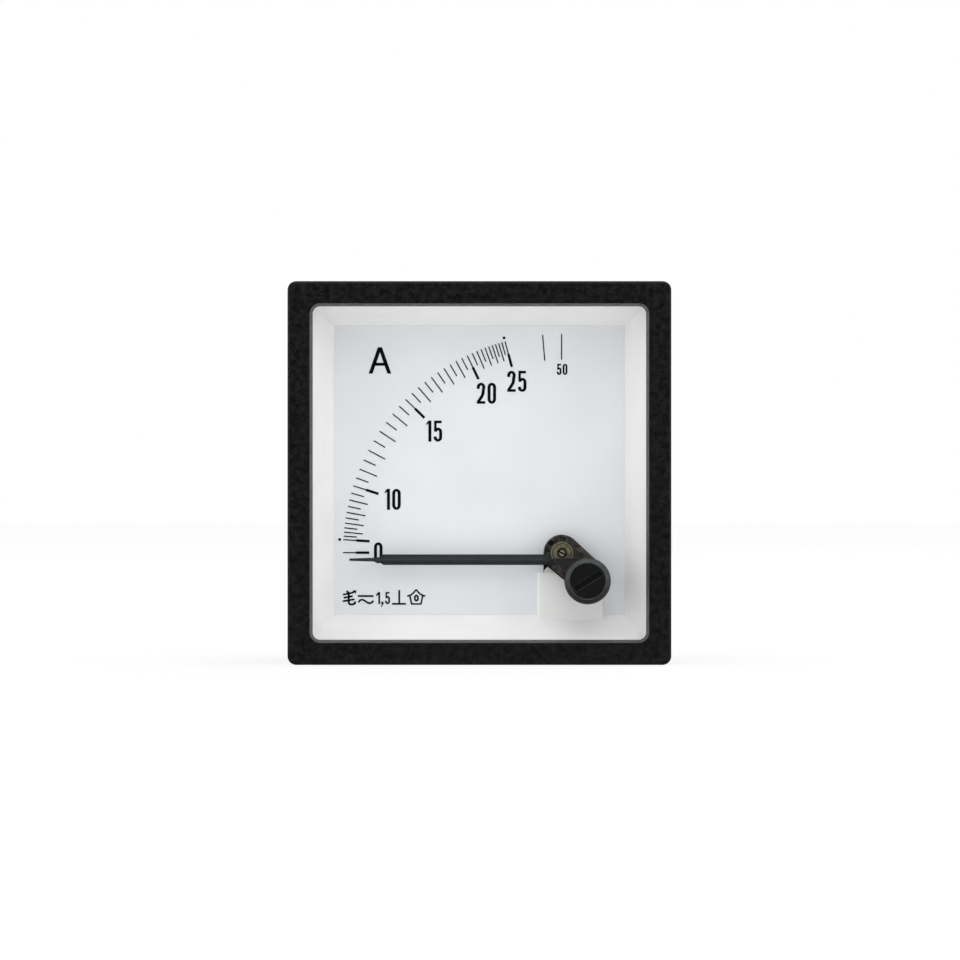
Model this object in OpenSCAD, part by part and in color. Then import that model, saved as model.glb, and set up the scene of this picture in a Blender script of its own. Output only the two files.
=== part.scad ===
// Moving-iron panel meter in a square flush-mounting case, in millimetres.
// The origin is the centre of the panel's face. X is to the right as seen from the front,
// Z is up and Y runs into the panel, so the bezel is at negative Y and the case at positive Y.

/* [Bezel] */
// Width and height of the bezel
bezel_w = 72; // [65:0.5:80]
// How far the bezel stands in front of the panel
bezel_depth = 5.5; // [5.2:0.1:6.5]
// Radius of the bezel's outer corners
bezel_corner_r = 1.7; // [0.8:0.1:2.5]
// Thickness of the bezel's front
bezel_front_t = 1.5; // [1.2:0.1:2]
// Chamfer along the bezel's front edge
bezel_chamfer = 0.35; // [0.1:0.05:0.7]
// Width of the sloping lip round the window
lip_w = 0.55; // [0.2:0.05:0.8]
// Radius of the window's corners
window_corner_r = 1.4; // [0.8:0.1:2.5]
// Width of each clip behind the bezel
clip_w = 8; // [5:0.5:12]
// Distance of each clip from the middle of its side
clip_x = 18; // [12:0.5:22]
// Reach of each clip behind the panel's face
clip_reach = 7; // [6:0.5:9]
// Thickness of each clip
clip_t = 1.4; // [1:0.05:1.5]
// How deep the clips lie in the case's walls
clip_sink = 0.7; // [0.5:0.05:0.8]

/* [Case] */
// How far the bezel stands out past the case on each side
bezel_overhang = 2.8; // [2.4:0.05:3.4]
// Depth of the case behind the panel's face
case_depth = 42; // [38:0.5:50]
// Thickness of the case's walls
case_wall = 1.8; // [1.6:0.1:2.2]
// Radius of the case's outer corners
case_corner_r = 1.5; // [1:0.1:2.5]
// Width of the square posts in the case's corners
post_w = 5; // [4:0.1:5.4]
// Width of the clamp grooves in the case's sides
groove_w = 10; // [6:0.5:14]
// Depth of the clamp grooves
groove_depth = 0.9; // [0.4:0.1:1]
// Pitch of the clamp teeth in each groove
tooth_pitch = 2; // [1.5:0.1:3]

/* [Window] */
// Thickness of the window
window_t = 2; // [1.6:0.1:2.4]
// How far the bezel covers the window's edge
window_lap = 1.8; // [1.5:0.1:2.2]

/* [Surround and dial] */
// Distance from the window to the dial
dial_gap = 8; // [7.6:0.1:9]
// Run of the surround's slope at each side
slope_side = 4.2; // [3.5:0.1:5]
// Run of the surround's slope at the top
slope_top = 3.8; // [3:0.1:4.5]
// Run of the surround's slope at the bottom
slope_bottom = 4.9; // [4:0.1:5.5]
// Wall of the surround
surround_wall = 0.8; // [0.6:0.05:0.85]
// Thickness of the surround's flange
flange_t = 1; // [0.8:0.1:1.4]
// Thickness of the dial plate
dial_t = 0.5; // [0.4:0.1:1]
// Width of the block that hides the movement
block_w = 12.4; // [11.5:0.1:13]
// How far the block stands in front of the dial
block_rise = 1.5; // [1.2:0.1:1.6]
// Distance from the pivot down to the block's top edge
block_drop = 3.7; // [3.6:0.1:4.2]

/* [Scale] */
// Distance between the scale's outer arc and the edge of the dial
scale_margin = 1.7; // [1:0.1:3]
// Length of a half-unit mark
minor_len = 2.5; // [1.5:0.1:3]
// Length of a whole-unit mark
unit_len = 3.6; // [2.6:0.1:4.5]
// Length of a numbered mark
major_len = 5; // [4.6:0.1:7]
// Width of a thin mark
thin_w = 0.22; // [0.15:0.01:0.35]
// Width of the thick end of a numbered mark
thick_w = 0.48; // [0.36:0.01:0.7]
// Radius of the dots at the ends of the measuring range
dot_r = 0.27; // [0.15:0.01:0.4]

/* [Movement] */
// Distance from the dial's right edge to the pivot
pivot_inset_x = 12; // [11.5:0.1:13]
// Distance from the dial's bottom edge to the pivot
pivot_inset_z = 11.8; // [11.5:0.1:12.5]
// Radius of the spindle
spindle_r = 0.5; // [0.4:0.05:0.6]
// Radius of the front frame at the pivot
frame_r = 3.45; // [3.4:0.05:3.8]
// Radius of the front frame's far end
frame_end_r = 3.2; // [3.1:0.05:3.6]
// Thickness of the front frame
frame_t = 1.15; // [1:0.05:1.2]
// Thickness of the bridge that holds the front bearing
bridge_t = 0.6; // [0.5:0.05:0.7]
// Radius of the front bush's flange
bush_r = 2.1; // [2:0.05:2.2]
// Radius of the jewel screws
jewel_r = 0.83; // [0.7:0.01:0.9]
// Radius of the movement base
base_r = 14.2; // [13.9:0.1:14.6]
// Thickness of the movement base
base_t = 4; // [3.6:0.1:4.4]
// Radius of the damping chamber
chamber_r = 10.4; // [9.8:0.1:10.8]
// Radius of the coil's bore
coil_bore_r = 8; // [7.9:0.1:8.4]
// Turns of wire on the coil, which fill the former from flange to flange
coil_turns = 7; // [5:1:12]
// Distance from the coil former to the rear wall
coil_gap = 4.85; // [4:0.05:6]

/* [Moving system] */
// Width of the pointer's bar
pointer_w = 2; // [1.4:0.02:2.2]
// Distance of the bar's middle line below the pivot
pointer_offset = 1.28; // [1:0.02:1.4]
// Thickness of the pointer's sheet
pointer_t = 0.3; // [0.25:0.05:0.4]
// Distance between the pointer's tip and the scale's outer arc
pointer_short = 1.3; // [0.5:0.1:2.5]
// Length of the pointer's fine tip
tip_len = 4.7; // [3:0.1:8]
// Distance of the weight on the balance cross's tail arm from the spindle
tail_weight_at = 5.2; // [3.4:0.05:6.4]
// Distance of the weights on the balance cross's side arms from the spindle
side_weight_at = 5; // [3.4:0.05:6.4]
// Turns of the hairspring
spring_turns = 4; // [3:1:5]

/* [Zero adjuster] */
// Distance from the pivot to the adjuster
adjuster_d = 7; // [6.9:0.05:7.2]
// Radius of the adjuster's head
adjuster_r = 4.43; // [4.3:0.01:4.5]
// Radius of the adjuster's shaft
shaft_r = 2; // [1.7:0.05:2.2]
// Number of ridges round the adjuster's head
knurl_n = 60; // [40:1:72]
// Width of the screwdriver slot
slot_w = 1.2; // [0.8:0.1:1.4]
// Turn of the screwdriver slot from level
slot_lean = -32; // [-90:1:90]
// Distance of the eccentric pin from the adjuster's axis
eccentric_d = 1; // [0.8:0.05:1.1]
// Radius of the eccentric pin
pin_r = 0.5; // [0.4:0.05:0.55]
// Width of the lever's blade
blade_w = 4.2; // [3.8:0.1:4.4]

/* [Terminals] */
// Radius of each terminal stud
stud_r = 2.5; // [2:0.1:3]
// Distance of each terminal from the middle of the case
stud_x = 17; // [14:0.5:19]
// Height of the terminals above the middle of the case
stud_z = 8; // [7:0.5:12]
// Free length of each stud behind its nut
stud_free = 8; // [6:0.5:14]
// Width of the nuts across their flats
nut_af = 8; // [7.4:0.1:9]

/* [Hidden] */
$fn = 64;

// Clearances: pieces put together by hand, pieces that run in each other, and faces that pass
fit = 0.1;
running = 0.05;
passing = 0.15;
// How much thicker the rear wall is than the sides
rear_extra = 0.2;
// How far pieces of one solid run into each other
lap = 0.2;

// Levels from the front to the rear of the case
bezel_front = -bezel_depth;
window_front = bezel_front + bezel_front_t;
window_rear = window_front + window_t;
case_front = window_rear + flange_t;
dial_front = window_rear + dial_gap;
dial_rear = dial_front + dial_t;
wall_front = case_depth - case_wall - rear_extra;

// Widths that follow from the bezel's
case_w = bezel_w - 2 * bezel_overhang;
pocket_w = case_w + 4 * fit;
window_w = case_w - 2 * fit;
opening_w = window_w - 2 * window_lap;
cavity_w = case_w - 2 * case_wall;
slope_front = opening_w / 2 + 0.5;
dial_side = slope_front - slope_side;
dial_top = slope_front - slope_top;
dial_bottom = slope_front - slope_bottom;
dial_w = cavity_w - 2.4;
ink_t = 0.05;
hook_w = 1.5;

// The spindle's axis and the adjuster's, as seen from the front
pivot = [dial_side - pivot_inset_x, pivot_inset_z - dial_bottom];
adjuster_dir = -47.8;
adjuster = pivot + polar(adjuster_d, adjuster_dir);
frame_end = adjuster + polar(0.85, adjuster_dir + 90);
scale_r = pivot[0] + dial_side - scale_margin;

// Levels of the movement, from the front bush to the rear jewel
bush_front = dial_front - 5.55;
bush_t = 0.45;
ring_front = bush_front + bush_t + running;
ring_t = 0.4;
ring_rear = ring_front + ring_t;
bridge_front = ring_rear + fit;
bridge_rear = bridge_front + bridge_t;
hub_front = bridge_rear + passing;
hub_t = 0.7;
hub_rear = hub_front + hub_t;
frame_front = hub_rear + 0.2;
frame_rear = frame_front + frame_t;
spring_front = frame_rear + 0.3;
spring_h = 0.5;
spring_rear = spring_front + spring_h;
blade_t = 0.6;
blade_rear = bush_front - passing;
blade_front = blade_rear - blade_t;
ring_end_gap = 0.8;
base_front = dial_rear + 1.5;
base_rear = base_front + base_t;
cover_t = 0.5;
cover_rear = base_rear + cover_t;
cross_mid = cover_rear + 1.8;
cross_t = 0.6;
bobbin_front = cover_rear + 3.8;
bobbin_flange_t = 1.2;
winding_front = bobbin_front + bobbin_flange_t;
bobbin_rear = wall_front - coil_gap;
winding_rear = bobbin_rear - bobbin_flange_t;
winding_len = winding_rear - winding_front;
wire_d = winding_len / coil_turns;
boss_rear = bobbin_rear + 1;
pivot_tip = 0.6;
spindle_front = bridge_rear - 0.5;
spindle_rear = bobbin_rear - 0.2;

// Sizes of the movement's parts
bush_neck_r = 1.3;
jewel_hole_r = jewel_r + 0.02;
spring_stud_r = 0.3;
spring_stud_at = 2.75;
spring_stud_dir = 82;
spring_stud_swing = 14;
spring_arm_w = 0.9;
collet_r = 0.9;
spring_t = 0.12;
hub_r = 1.5;
window_r0 = 2.25;
window_r1 = 3.15;
chamber_from = -46;
chamber_to = 74;
vane_dir = 60;
vane_t = 0.3;
bobbin_wall = 1;
spindle_hole_r = 1.8;
chamber_floor = 1.2;
vane_gap = 0.3;
bobbin_tube_r = coil_bore_r + bobbin_wall;
winding_r = bobbin_tube_r + wire_d;
bobbin_flange_r = base_r - 0.6;
foot_r = 1;
foot_at = bobbin_flange_r - foot_r - 0.4;
feet = [10, 130, 250];
weight_r = 1;
weight_len = 1.6;
arm_w = 0.7;
cross_arm = 7.6;
cross_hub_r = 1.4;
cross_hub_len = 1.8;
iron_t = 0.4;
iron_air = 0.4;
iron_inset = 2;
iron_ring_r = 1.3;
iron_arm_w = 1;
iron_arm_t = 0.4;
ear_spread = 3;
ear_step = 0.5;
peg_bore = 3;

// The three pillars that the movement stands on, the last one in a corner of the case
pillar_r = 2.4;
corner_at = cavity_w / 2 - post_w / 2;
pillars = [pivot + [-17.6, 0], pivot + [-7.1, 16.3]];
ears = concat(pillars, [[corner_at, -corner_at]]);
ear_r = 2.9;
screw_r = 1.2;
screw_head_r = 2.2;
screw_head_t = 1.1;
screw_grip = 8;
frame_pegs = [frame_end + [0.9, 1.3], frame_end + [-1.3, -1]];
peg_r = 1;
peg_screw_r = 0.5;

// Terminals
stud_head_t = 2;
lug_t = 1;
lug_r = 4.6;
terminal_boss_t = 1;
washer_t = 1;
nut_t = 4;
washer_front = case_depth + terminal_boss_t;
nut_front = washer_front + washer_t;
nut_rear = nut_front + nut_t;
stud_end = nut_rear + stud_free;
// Inside its nut the stud is drawn at the root of its thread
root_r = stud_r - 0.4;
root_end = nut_rear + 0.2;
stud_chamfer = 0.6;
lead_r = 1.1;
lead_z = stud_z - stud_r - 3.7;
lead_end = wall_front - lead_r - 2 * running;

function polar(r, a) = [r * cos(a), r * sin(a)];

// ---- plain helpers ----

// A flat outline in X and Z, made solid between two levels of Y
module slab(y0, y1) {
    translate([0, y1, 0])
        rotate([90, 0, 0])
            linear_extrude(y1 - y0)
                children();
}

// A solid turned round an axis along Y, from an outline of radius and level
module turned() {
    rotate([-90, 0, 0])
        rotate_extrude()
            children();
}

// A round bar along Y
module bar(y0, y1, r, r_end = undef) {
    translate([0, y0, 0])
        rotate([-90, 0, 0])
            cylinder(h = y1 - y0, r1 = r, r2 = is_undef(r_end) ? r : r_end);
}

// A tube along Y
module tube(y0, y1, r_out, r_in) {
    difference() {
        bar(y0, y1, r_out);
        bar(y0 - lap, y1 + lap, r_in);
    }
}

module at(p) {
    translate([p[0], 0, p[1]])
        children();
}

// A square with round corners
module round_square(w, r) {
    square([w - 2 * r, w], center = true);
    square([w, w - 2 * r], center = true);
    for (sx = [-1, 1], sz = [-1, 1])
        translate([sx, sz] * (w / 2 - r))
            circle(r);
}

// Two circles joined by their outer tangents
module teardrop(p, rp, q, rq) {
    d = norm(q - p);
    dir = atan2(q[1] - p[1], q[0] - p[0]);
    lean = acos((rp - rq) / d);
    translate(p)
        circle(rp);
    translate(q)
        circle(rq);
    polygon([
        p + polar(rp, dir + lean), p + polar(rp, dir - lean),
        q + polar(rq, dir - lean), q + polar(rq, dir + lean)
    ]);
}

// A part of a ring between two angles
module sector(r0, r1, a0, a1) {
    far = 2 * r1;
    mid = (a0 + a1) / 2;
    intersection() {
        difference() {
            circle(r1);
            circle(r0);
        }
        polygon([[0, 0], polar(far, a0), polar(far, mid), polar(far, a1)]);
    }
}

// A block whose front and rear outlines differ, each given as left, right, bottom and top
module taper(y0, a, y1, b) {
    polyhedron(
        points = [
            [a[0], y0, a[2]], [a[1], y0, a[2]], [a[1], y0, a[3]], [a[0], y0, a[3]],
            [b[0], y1, b[2]], [b[1], y1, b[2]], [b[1], y1, b[3]], [b[0], y1, b[3]]
        ],
        faces = [
            [3, 2, 1, 0], [4, 5, 6, 7], [0, 1, 5, 4], [1, 2, 6, 5], [2, 3, 7, 6], [3, 0, 4, 7]
        ]
    );
}

// A round wire from one point to another, with a slightly fuller round end
module wire(a, b, r) {
    v = b - a;
    translate(a)
        rotate([0, acos(v[2] / norm(v)), atan2(v[1], v[0])])
            cylinder(h = norm(v), r = r);
    translate(b)
        sphere(r + running);
}

// ---- housing ----

module clip_places() {
    for (sx = [-1, 1], flip = [0, 1])
        mirror([0, 0, flip])
            translate([sx * clip_x, 0, 0])
                children();
}

// The case: an open box with a thicker rear wall, corner posts that the dial rests on, pillars
// for the movement, recesses for the bezel's clips and toothed grooves for the panel clamps
module case() {
    color("#26272a")
        difference() {
            union() {
                case_shell();
                for (sx = [-1, 1], sz = [-1, 1])
                    translate([sx * corner_at, 0, sz * corner_at])
                        slab(dial_rear, wall_front + lap)
                            square(post_w + lap, center = true);
                for (p = pillars)
                    at(p)
                        bar(base_rear, wall_front + lap, pillar_r);
                for (sx = [-1, 1])
                    at([sx * stud_x, stud_z])
                        bar(case_depth - lap, washer_front, lug_r + 1);
                // a rib between the terminals
                slab(case_depth - lap, washer_front + washer_t)
                    translate([-0.9, stud_z - 9])
                        square([1.8, 18]);
            }
            clip_places()
                clip_recess();
            for (p = pillars)
                at(p)
                    bar(base_rear - lap, base_rear + screw_grip + 1, screw_r + running);
            at([corner_at, -corner_at]) {
                bar(base_front - lap, base_rear + screw_grip + 1, screw_r + running);
                slab(dial_rear - lap, base_rear)
                    square(post_w + 4 * lap, center = true);
            }
            for (sx = [-1, 1]) {
                at([sx * stud_x, stud_z])
                    bar(wall_front - lap, washer_front + lap, stud_r + fit);
                mirror([sx < 0 ? 1 : 0, 0, 0])
                    clamp_groove();
            }
        }
}

module case_shell() {
    difference() {
        slab(case_front, case_depth)
            round_square(case_w, case_corner_r);
        slab(case_front - lap, wall_front)
            round_square(cavity_w, case_corner_r / 2);
        // the mouth is wider, so that the surround's slopes clear it
        slab(case_front - lap, case_front + 1.8)
            round_square(cavity_w + 1.6, case_corner_r / 2);
    }
}

module clip_recess() {
    w = clip_w + 4 * fit;
    face = case_w / 2 - clip_sink - fit;
    translate([-w / 2, case_front - lap, face])
        cube([w, clip_reach + 0.6 - case_front + lap, case_w]);
    translate([-w / 2, clip_reach - hook_w - 2 * fit, cavity_w / 2 - lap])
        cube([w, hook_w + 4 * fit, case_w]);
}

// A groove on the right side with a row of ramped teeth left standing in it
module clamp_groove() {
    x0 = case_w / 2 - groove_depth;
    y0 = clip_reach + 3;
    y1 = case_depth - 4;
    teeth = floor((y1 - y0) / tooth_pitch) - 1;
    difference() {
        translate([x0, y0, -groove_w / 2])
            cube([groove_depth + lap, y1 - y0, groove_w]);
        for (i = [1 : teeth])
            translate([x0, y0 + i * tooth_pitch, -groove_w / 4])
                linear_extrude(groove_w / 2)
                    polygon([[-lap, 0], [0, 0], [groove_depth * 0.7, 0], [0, tooth_pitch * 0.8],
                             [-lap, tooth_pitch * 0.8]]);
    }
}

// The bezel: a square ring with a thin front, a sloping lip round the window and four clips
module bezel() {
    half = bezel_w / 2;
    color("#1c1d1f") {
        difference() {
            slab(bezel_front, 0)
                round_square(bezel_w, bezel_corner_r);
            slab(window_front, lap)
                round_square(pocket_w, case_corner_r);
            slab(bezel_front - lap, 0)
                round_square(opening_w, window_corner_r);
            lip();
            for (turn = [0 : 90 : 270])
                rotate([0, turn, 0])
                    edge_cut(half);
        }
        clip_places()
            clip();
    }
}

// The lip's slope, from the border's edge down to the window's
module lip() {
    depth = bezel_front_t - 0.3;
    hull() {
        slab(bezel_front - 0.01, bezel_front)
            round_square(opening_w + 2 * lip_w, window_corner_r + lip_w, $fn = 32);
        slab(bezel_front + depth, bezel_front + depth + 0.01)
            round_square(opening_w, window_corner_r, $fn = 32);
    }
}

module edge_cut(half) {
    translate([half, bezel_front, -half - lap])
        linear_extrude(bezel_w + 2 * lap)
            polygon([[lap, -lap], [lap, bezel_chamfer], [0, bezel_chamfer],
                     [-bezel_chamfer, 0], [-bezel_chamfer, -lap]]);
}

// A tongue that reaches back along the case and hooks into its wall
module clip() {
    inner = case_w / 2 - clip_sink;
    start = case_front + fit;
    hook_t = case_wall - clip_sink - 2 * fit;
    translate([-clip_w / 2, start, inner])
        cube([clip_w, clip_reach - start, clip_t]);
    translate([-clip_w / 2, 0, 0])
        rotate([90, 0, 90])
            linear_extrude(clip_w)
                polygon([
                    [clip_reach - hook_w, inner + lap], [clip_reach - hook_w, inner - hook_t],
                    [clip_reach - hook_w + 0.4, inner - hook_t], [clip_reach, inner],
                    [clip_reach, inner + lap]
                ]);
}

module window_glass() {
    color("#dfe7ea", 0.35)
        difference() {
            slab(window_front, window_rear)
                round_square(window_w, case_corner_r);
            at(adjuster)
                bar(window_front - lap, window_rear + lap, shaft_r + running);
        }
}

// ---- surround and dial ----

// The white surround: a flange behind the window, four slopes down to the dial and a block
// that hides the movement, cut away where the front frame passes
module surround() {
    front = [-slope_front, slope_front, -slope_front, slope_front];
    rear = [-dial_side, dial_side, -dial_bottom, dial_top];
    wall = [-surround_wall, surround_wall, -surround_wall, surround_wall];
    ext = (front - rear) / dial_gap;
    color("#eceeee") {
        difference() {
            union() {
                slab(window_rear, case_front)
                    round_square(window_w, case_corner_r);
                taper(window_rear, front + wall, dial_front, rear + wall);
            }
            taper(window_rear - 1, front + ext, dial_front + 1, rear - ext);
        }
        difference() {
            block();
            slab(window_rear, dial_rear)
                teardrop(pivot, frame_r + 0.3, frame_end, frame_end_r + 0.3);
        }
    }
}

module block() {
    top = pivot[1] - block_drop;
    left = adjuster[0] - block_w / 2 - 3.2;
    face = dial_front - block_rise;
    wall = 0.9;
    round_r = 0.7;
    low = -dial_bottom - slope_bottom * block_rise / dial_gap - surround_wall / 2;
    // the front wall, with a round left edge
    slab(face, face + wall)
        translate([left + round_r, low])
            square([block_w - round_r, top - low]);
    slab(face + round_r, dial_front)
        translate([left, low])
            square([wall, top - low]);
    translate([left + round_r, face + round_r, low])
        cylinder(h = top - low, r = round_r);
    // the right and top walls
    slab(face, dial_front)
        translate([left + block_w - wall, low])
            square([wall, top - low]);
    slab(face, dial_front)
        translate([left + round_r, top - wall])
            square([block_w - round_r, wall]);
    // the round boss behind the frame
    at([left + 3.4, top - 0.75])
        bar(dial_front - 1, dial_front, 2.25);
}

module dial_plate() {
    color("#e2e6e8")
        difference() {
            slab(dial_front, dial_rear)
                round_square(dial_w, 1);
            slab(dial_front - lap, dial_rear + lap) {
                teardrop(pivot, frame_r - 0.3, frame_end, frame_end_r - 0.3);
                translate([pivot[0] - frame_r, adjuster[1] - 4])
                    square([frame_r + 2, adjuster_d - 2.6 + 4.5]);
            }
        }
}

// Marks of the scale. Readings crowd at the low end and above the measuring range, as a moving
// iron's do: each row gives a reading and its angle from the zero line, and a smooth curve
// runs through them.
calibration = [[0, 0], [5, 3.4], [10, 17.8], [15, 44.5], [20, 64.4], [25, 75], [40, 85], [50, 90]];

function steepness(i) =
    i == 0 ? 0.3
    : i == len(calibration) - 1 ? 0.45
    : let(a = calibration[i - 1], b = calibration[i], c = calibration[i + 1],
          s = (b[1] - a[1]) / (b[0] - a[0]), t = (c[1] - b[1]) / (c[0] - b[0]))
      (s * (c[0] - b[0]) + t * (b[0] - a[0])) / (c[0] - a[0]);

function row_of(v) = min([for (i = [0 : len(calibration) - 2]) if (v <= calibration[i + 1][0]) i]);

function mark_angle(v) =
    let(i = row_of(v), a = calibration[i], b = calibration[i + 1],
        h = b[0] - a[0], u = (v - a[0]) / h)
    a[1] * (1 + 2 * u) * (1 - u) * (1 - u) + b[1] * u * u * (3 - 2 * u)
    + h * (steepness(i) * u * (1 - u) * (1 - u) - steepness(i + 1) * u * u * (1 - u));

// A mark that points at the pivot, from one radius to another
module mark(v, r0, r1, w) {
    rotate(180 - mark_angle(v))
        translate([r0, -w / 2])
            square([r1 - r0, w]);
}

module scale_marks() {
    majors = [0, 5, 10, 15, 20, 25];
    color("#1b1c1e")
        at(pivot)
            slab(dial_front - ink_t, dial_front) {
                for (v = [5.5 : 0.5 : 24.5])
                    if (v % 5 != 0)
                        mark(v, scale_r - (v % 1 == 0 ? unit_len : minor_len), scale_r, thin_w);
                for (v = majors) {
                    mark(v, scale_r - minor_len, scale_r, thin_w);
                    mark(v, scale_r - major_len, scale_r - minor_len, thick_w);
                }
                for (v = [40, 50])
                    mark(v, scale_r - major_len + 0.1, scale_r, thin_w);
                for (v = [5, 25])
                    rotate(180 - mark_angle(v))
                        translate([scale_r + 0.7, 0])
                            circle(dot_r, $fn = 24);
            }
}

// ---- fixed parts of the movement ----

// The moulded base: a round body with three ears, a sector-shaped damping chamber open to the
// rear, a clear hole for the spindle and two pegs that reach through the dial to the front frame
module movement_base() {
    color("#1d1e20")
        difference() {
            union() {
                slab(base_front, base_rear) {
                    translate(pivot)
                        circle(base_r);
                    for (p = ears)
                        teardrop(pivot, ear_r + ear_spread, p, ear_r - ear_step);
                }
                for (p = frame_pegs)
                    at(p)
                        bar(frame_rear, base_front + lap, peg_r);
            }
            at(pivot) {
                bar(base_front - lap, base_rear + lap, spindle_hole_r);
                slab(base_front + chamber_floor, base_rear + lap)
                    sector(spindle_hole_r / 2, chamber_r, chamber_from, chamber_to);
            }
            for (p = ears)
                at(p)
                    bar(base_front - lap, base_rear + lap, screw_r + fit);
            for (p = frame_pegs)
                at(p)
                    bar(frame_rear - lap, frame_rear + peg_bore, peg_screw_r + running);
        }
}

module screw(y_head, head_t, head_r, r, len, slot) {
    difference() {
        union() {
            bar(y_head, y_head + head_t, head_r);
            bar(y_head + head_t - running, y_head + head_t + len, r);
        }
        translate([-head_r - 1, y_head - lap, -slot / 2])
            cube([2 * head_r + 2, lap + head_t / 2, slot]);
    }
}

module movement_screws() {
    color("#b9bbbd")
        for (p = ears)
            at(p)
                screw(base_front - screw_head_t, screw_head_t, screw_head_r, screw_r,
                      base_t + screw_grip, screw_r / 2);
}

// A thin lid over the damping chamber
module damping_cover() {
    color("#c4c7c9")
        at(pivot)
            tube(base_rear, cover_rear, foot_at - foot_r - fit, spindle_hole_r);
}

// The black front frame: a plate with windows round the spindle and a raised far end that the
// bridge stands on
module front_frame() {
    color("#26251f")
        difference() {
            union() {
                slab(frame_front, frame_rear)
                    teardrop(pivot, frame_r, frame_end, frame_end_r);
                slab(bridge_rear, frame_front + lap)
                    translate(frame_end)
                        circle(frame_end_r - 0.3);
            }
            at(pivot) {
                bar(frame_front - lap, frame_rear + lap, spindle_r + 0.4);
                slab(frame_front - lap, frame_rear + lap) {
                    sector(window_r0, window_r1, spring_stud_dir - spring_stud_swing,
                           spring_stud_dir + spring_stud_swing);
                    sector(window_r0, window_r1, 106, 109);
                    sector(window_r0, window_r1, 116, 119);
                    sector(window_r0, window_r1, 127, 149);
                    sector(window_r0, window_r1, 168, 176);
                }
            }
            for (p = frame_pegs)
                at(p)
                    bar(bridge_rear - lap, frame_rear + lap, peg_screw_r + running);
            // a small pocket by the upper edge
            at(pivot)
                rotate([0, -adjuster_dir, 0])
                    translate([2.6, frame_front - lap, frame_r - 1.5])
                        cube([1.3, frame_t * 0.6 + lap, 0.9]);
        }
}

// The bridge: an arm that holds the front bush over the pointer's hub
module front_bridge() {
    color("#33312c")
        difference() {
            slab(bridge_front, bridge_rear)
                teardrop(pivot, bush_r - 0.1, frame_end, frame_end_r - 0.3);
            at(pivot)
                bar(bridge_front - lap, bridge_rear + lap, bush_neck_r);
            for (p = frame_pegs)
                at(p)
                    bar(bridge_front - lap, bridge_rear + lap, peg_screw_r + running);
        }
}

module frame_screws() {
    head_t = 0.5;
    color("#b9bbbd")
        for (p = frame_pegs)
            at(p)
                screw(bridge_front - head_t, head_t, 0.95, peg_screw_r,
                      frame_rear - bridge_front + 2.8, 0.3);
}

// The brass bush: a flange in front and a neck that the zero lever turns on
module front_bush() {
    color("#b49a5a")
        at(pivot)
            difference() {
                union() {
                    bar(bush_front, bush_front + bush_t, bush_r);
                    bar(bush_front + bush_t - running, bridge_rear, bush_neck_r);
                }
                bar(bush_front - lap, bridge_rear + lap, jewel_hole_r);
                bar(bush_front - running, bush_front + bush_t / 3, jewel_hole_r + 0.2, jewel_hole_r);
                tube(bush_front - lap, bush_front + bush_t / 4, bush_r * 0.9, bush_r * 0.84);
            }
}

// A jewel screw: slotted at one end, with a cone at the other that the spindle's point runs in
module jewel_screw(len) {
    difference() {
        bar(0, len, jewel_r);
        translate([-2, -lap, -0.14])
            cube([4, lap + 0.3, 0.28]);
        bar(len - pivot_tip, len + 0.001, 0.05, spindle_r + 0.06);
    }
}

module front_jewel_screw() {
    color("#c9a85a")
        at(pivot)
            translate([0, bush_front, 0])
                rotate([0, 25, 0])
                    jewel_screw(spindle_front + pivot_tip - bush_front - running);
}

module rear_jewel_screw() {
    color("#c9a85a")
        at(pivot)
            translate([0, boss_rear + 0.6, 0])
                mirror([0, 1, 0])
                    jewel_screw(boss_rear + 0.6 - spindle_rear + pivot_tip - running);
}

// The coil former: a tube with two flanges, a rear wall that holds the rear jewel screw and
// three feet that stand on the movement base
module coil_bobbin() {
    color("#e6e2d2")
        at(pivot) {
            turned()
                polygon([
                    [coil_bore_r, bobbin_front], [bobbin_flange_r, bobbin_front],
                    [bobbin_flange_r, winding_front], [bobbin_tube_r, winding_front],
                    [bobbin_tube_r, winding_rear], [bobbin_flange_r, winding_rear],
                    [bobbin_flange_r, bobbin_rear], [3, bobbin_rear], [3, boss_rear],
                    [jewel_hole_r, boss_rear], [jewel_hole_r, winding_rear],
                    [coil_bore_r, winding_rear]
                ]);
            for (a = feet)
                at(polar(foot_at, a))
                    bar(base_rear, bobbin_front + lap, foot_r);
        }
}

// One layer of thick wire, turn beside turn
module coil_winding() {
    color("#b5693c")
        at(pivot)
            turned() {
                for (i = [0 : coil_turns - 1])
                    translate([bobbin_tube_r + wire_d / 2, winding_front + (i + 0.5) * wire_d])
                        circle(d = wire_d, $fn = 32);
                translate([bobbin_tube_r, winding_front])
                    square([wire_d * 0.6, winding_len]);
            }
}

// The fixed iron: a curved sheet in the coil's bore that steps down to a tongue at one end
module fixed_iron() {
    y0 = winding_front + 0.6;
    full = winding_len - 1.2;
    color("#8d9092")
        at(pivot)
            translate([0, y0, 0])
                rotate([-90, 0, 0]) {
                    iron_sheet(coil_bore_r - running, -60, 30, 0, full);
                    iron_sheet(coil_bore_r - running, -110, -59, full * 0.3, full * 0.7);
                }
}

// A sheet curved round the spindle, its angles counted clockwise as seen from the front
module iron_sheet(r, from, to, low, high) {
    rotate_extrude(angle = to - from, start = from)
        translate([r - iron_t, low])
            square([iron_t, high - low]);
}

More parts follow.
